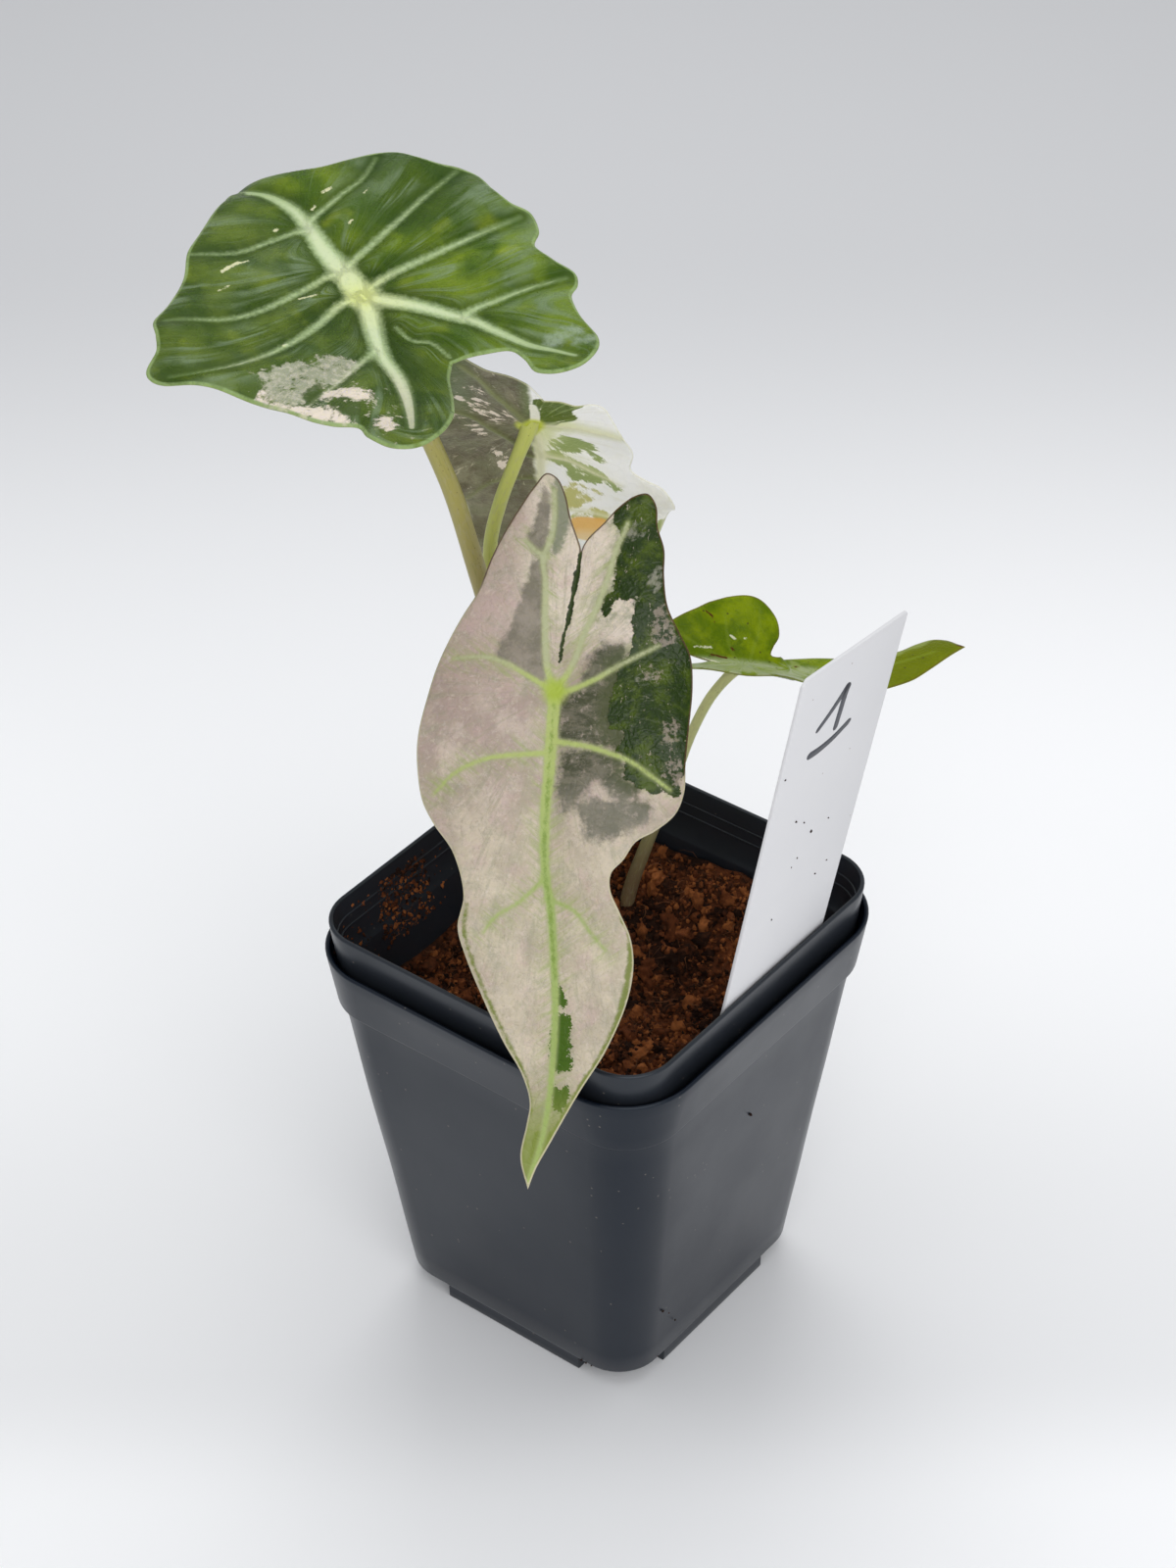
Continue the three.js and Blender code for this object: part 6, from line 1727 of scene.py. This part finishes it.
dirt = white.speckle(place, 0.3, 0.06, 0.3)
white.lay((0.20, 0.12, 0.08), white.times(dirt, 0.7))
white.bump(white.noise(place, 1.5, 3.0), 0.1, 0.03)
label.data.materials.append(white.finish())
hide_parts("plant_label")
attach(label, "root")
report(label)

# %% The written numeral and specks of mix
INK_DEPTH, INK_LIFT = 0.05, 0.03


def pen_stroke(name, path, start, end):
    """A marker stroke as a thin plate along a path in the label's plane."""
    middle = smooth_path(path, 0.5)
    ahead = np.gradient(middle, axis=0)
    side = np.column_stack([-ahead[:, 1], ahead[:, 0]]) / np.linalg.norm(ahead, axis=1)[:, None]
    share = np.linspace(0, 1, len(middle))
    width = (start + (end - start) * share) * np.clip(np.minimum(share, 1 - share) * 14 + 0.35, 0, 1)
    outline = np.vstack([middle - side * width[:, None], (middle + side * width[:, None])[::-1]])
    return plate(name, outline.tolist(), LABEL_FACE - INK_DEPTH, LABEL_FACE + INK_LIFT)


ink = Finish("marker_ink", Roughness=0.5, Specular_IOR_Level=0.3)
ink.colour = ink.mix((0.050, 0.052, 0.062), (0.10, 0.105, 0.12), ink.noise(ink.place(), 1.2, 3.0))
ink.finish()
STROKES_OF_NUMERAL = {
    "numeral_base": ([(-10.3, 64.0), (-5.7, 63.8), (-0.3, 64.5), (5.8, 66.5)], 1.05, 0.85),
    "numeral_stem": ([(-0.7, 66.6), (-0.3, 71.6), (0.1, 76.3), (0.8, 78.6)], 0.95, 1.1),
    "numeral_flag": ([(0.8, 78.6), (-1.9, 75.8), (-5.3, 72.8), (-9.1, 70.0)], 1.05, 0.75),
}
for name, (path, start, end) in STROKES_OF_NUMERAL.items():
    stroke = pen_stroke(name, path, start, end)
    stroke.data.materials.append(ink.material)
    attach(stroke, "root")
print("Numeral strokes:", len(STROKES_OF_NUMERAL))

# %% Stray crumbs on the label and the pot
# Places in the label's plane (width, height), then places on the pot's wall, with each crumb's radius
LABEL_CRUMBS = [
    (-17.7, 61.7, 0.4), (-7.7, 45.2, 0.35), (-3.8, 42.9, 0.3), (0.6, 38.1, 0.5), (7.5, 38.3, 0.3),
    (-2.7, 32.4, 0.35), (12.2, 23.7, 0.35), (-4.3, 30.5, 0.25), (8.1, 22.0, 0.3), (-7.4, 17.3, 0.35)]
POT_CRUMBS = [
    (43.95, 0.3, 70.6, 0.6), (38.1, -25.2, 23.4, 0.45), (37.2, -19, 14.7, 0.4), (38.3, -23, 21, 0.25),
    (21.8, -35.8, 5.2, 0.3), (23.2, -35.8, 5.1, 0.35), (24.8, -35.7, 5.1, 0.25), (35.7, -24, 5.6, 0.25)]
# A crumb with eight faces
CRUMB_TIPS = [(1, 0, 0), (-1, 0, 0), (0, 1, 0), (0, -1, 0), (0, 0, 1), (0, 0, -1)]
CRUMB_FACES = [(0, 2, 4), (2, 1, 4), (1, 3, 4), (3, 0, 4), (2, 0, 5), (1, 2, 5), (3, 1, 5), (0, 3, 5)]
STRAY_SEED = 31
random.seed(STRAY_SEED)
spots = [(*on_label([(LABEL_FACE, width, height)])[0], size) for width, height, size in LABEL_CRUMBS]
points, faces = [], []
for x, y, z, size in spots + POT_CRUMBS:
    start = len(points)
    points += [tuple(c + size * random.uniform(0.6, 1.3) * axis for c, axis in zip((x, y, z), tip))
               for tip in CRUMB_TIPS]
    faces += [(start + a, start + b, start + c) for a, b, c in CRUMB_FACES]
stray = make_piece("stray_crumbs", points, faces)
stray.data.materials.append(coir.material)
paint(stray.data, "tone", np.full(len(points), 0.1))
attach(stray, "root")
report(stray)

# %% The crown, which the mix hides
root_skin = Finish("rhizome_skin", Roughness=0.8)
place = root_skin.place()
root_skin.colour = root_skin.mix((0.16, 0.09, 0.045), (0.32, 0.22, 0.12), root_skin.noise(place, 0.5, 5.0))
root_skin.bump(root_skin.noise(root_skin.scaled(place, 1, 1, 3), 0.8, 4.0), 0.6, 0.4)
root_skin.finish()
crown = frame["nodes"]["rhizome"]
for slot in crown.material_slots:
    slot.material = root_skin.material

# %% [markdown]
# ## Floor and light
# The plant stands on a pale floor that runs on behind it, under one very large soft light, as in a
# light tent. The pot's sides show mostly the pale floor that they reflect.

# %% Floor
bpy.ops.mesh.primitive_circle_add(vertices=96, radius=4.5, fill_type="NGON")
floor = bpy.context.object
floor.name = "floor"
paper = Finish("floor_paper", Roughness=0.7, Specular_IOR_Level=0.2)
place = paper.place()
# The paper's brightness is painted light: brightest in front of the plant, greyer round it, pale again a
# little way behind it and darkest far behind it, where the light falls off. Distances are measured along the
# floor, away from the view
behind = paper.node("ShaderNodeVectorMath", {0: place, 1: (-0.616, 0.788, 0.0)}, output=1,
                    operation="DOT_PRODUCT")
paper.colour = paper.mix((0.93, 0.935, 0.95), (0.80, 0.805, 0.82), paper.step(behind, -85.0, -38.0))
paper.lay((0.90, 0.905, 0.92), paper.step(behind, -20.0, 130.0))
paper.lay((0.59, 0.595, 0.61), paper.step(behind, 180.0, 520.0))
floor.data.materials.append(paper.finish())


# %% Lights
def soft_light(name, place, aim, width, depth, power, colour):
    data = bpy.data.lights.new(name, "AREA")
    data.shape, data.size, data.size_y = "RECTANGLE", width, depth
    data.energy, data.color = power, colour
    light = put_in(name, data)
    light.location = place
    light.rotation_euler = (Vector(aim) - Vector(place)).to_track_quat("-Z", "Y").to_euler()
    return light


soft_light("tent_top", (-0.1, 0.1, 1.5), (0, 0, 0.1), 1.6, 1.6, 5, (1.0, 1.0, 1.0))
soft_light("tent_front", (1.25, -1.0, 1.15), (0, 0, 0.1), 2.0, 1.4, 20, (1.0, 0.995, 0.99))
tent_back = soft_light("tent_back", (-0.3, 0.4, 0.8), (-0.13, 0.17, 0.0), 0.5, 0.5, 2.2, (1.0, 1.0, 1.0))
tent_back.visible_glossy = False
world = bpy.data.worlds.new("tent")
world.use_nodes = True
sky = world.node_tree.nodes["Background"].inputs
sky["Color"].default_value = (0.84, 0.855, 0.875, 1)
sky["Strength"].default_value = 0.55
scene.world = world
scene.view_settings.view_transform = "Standard"
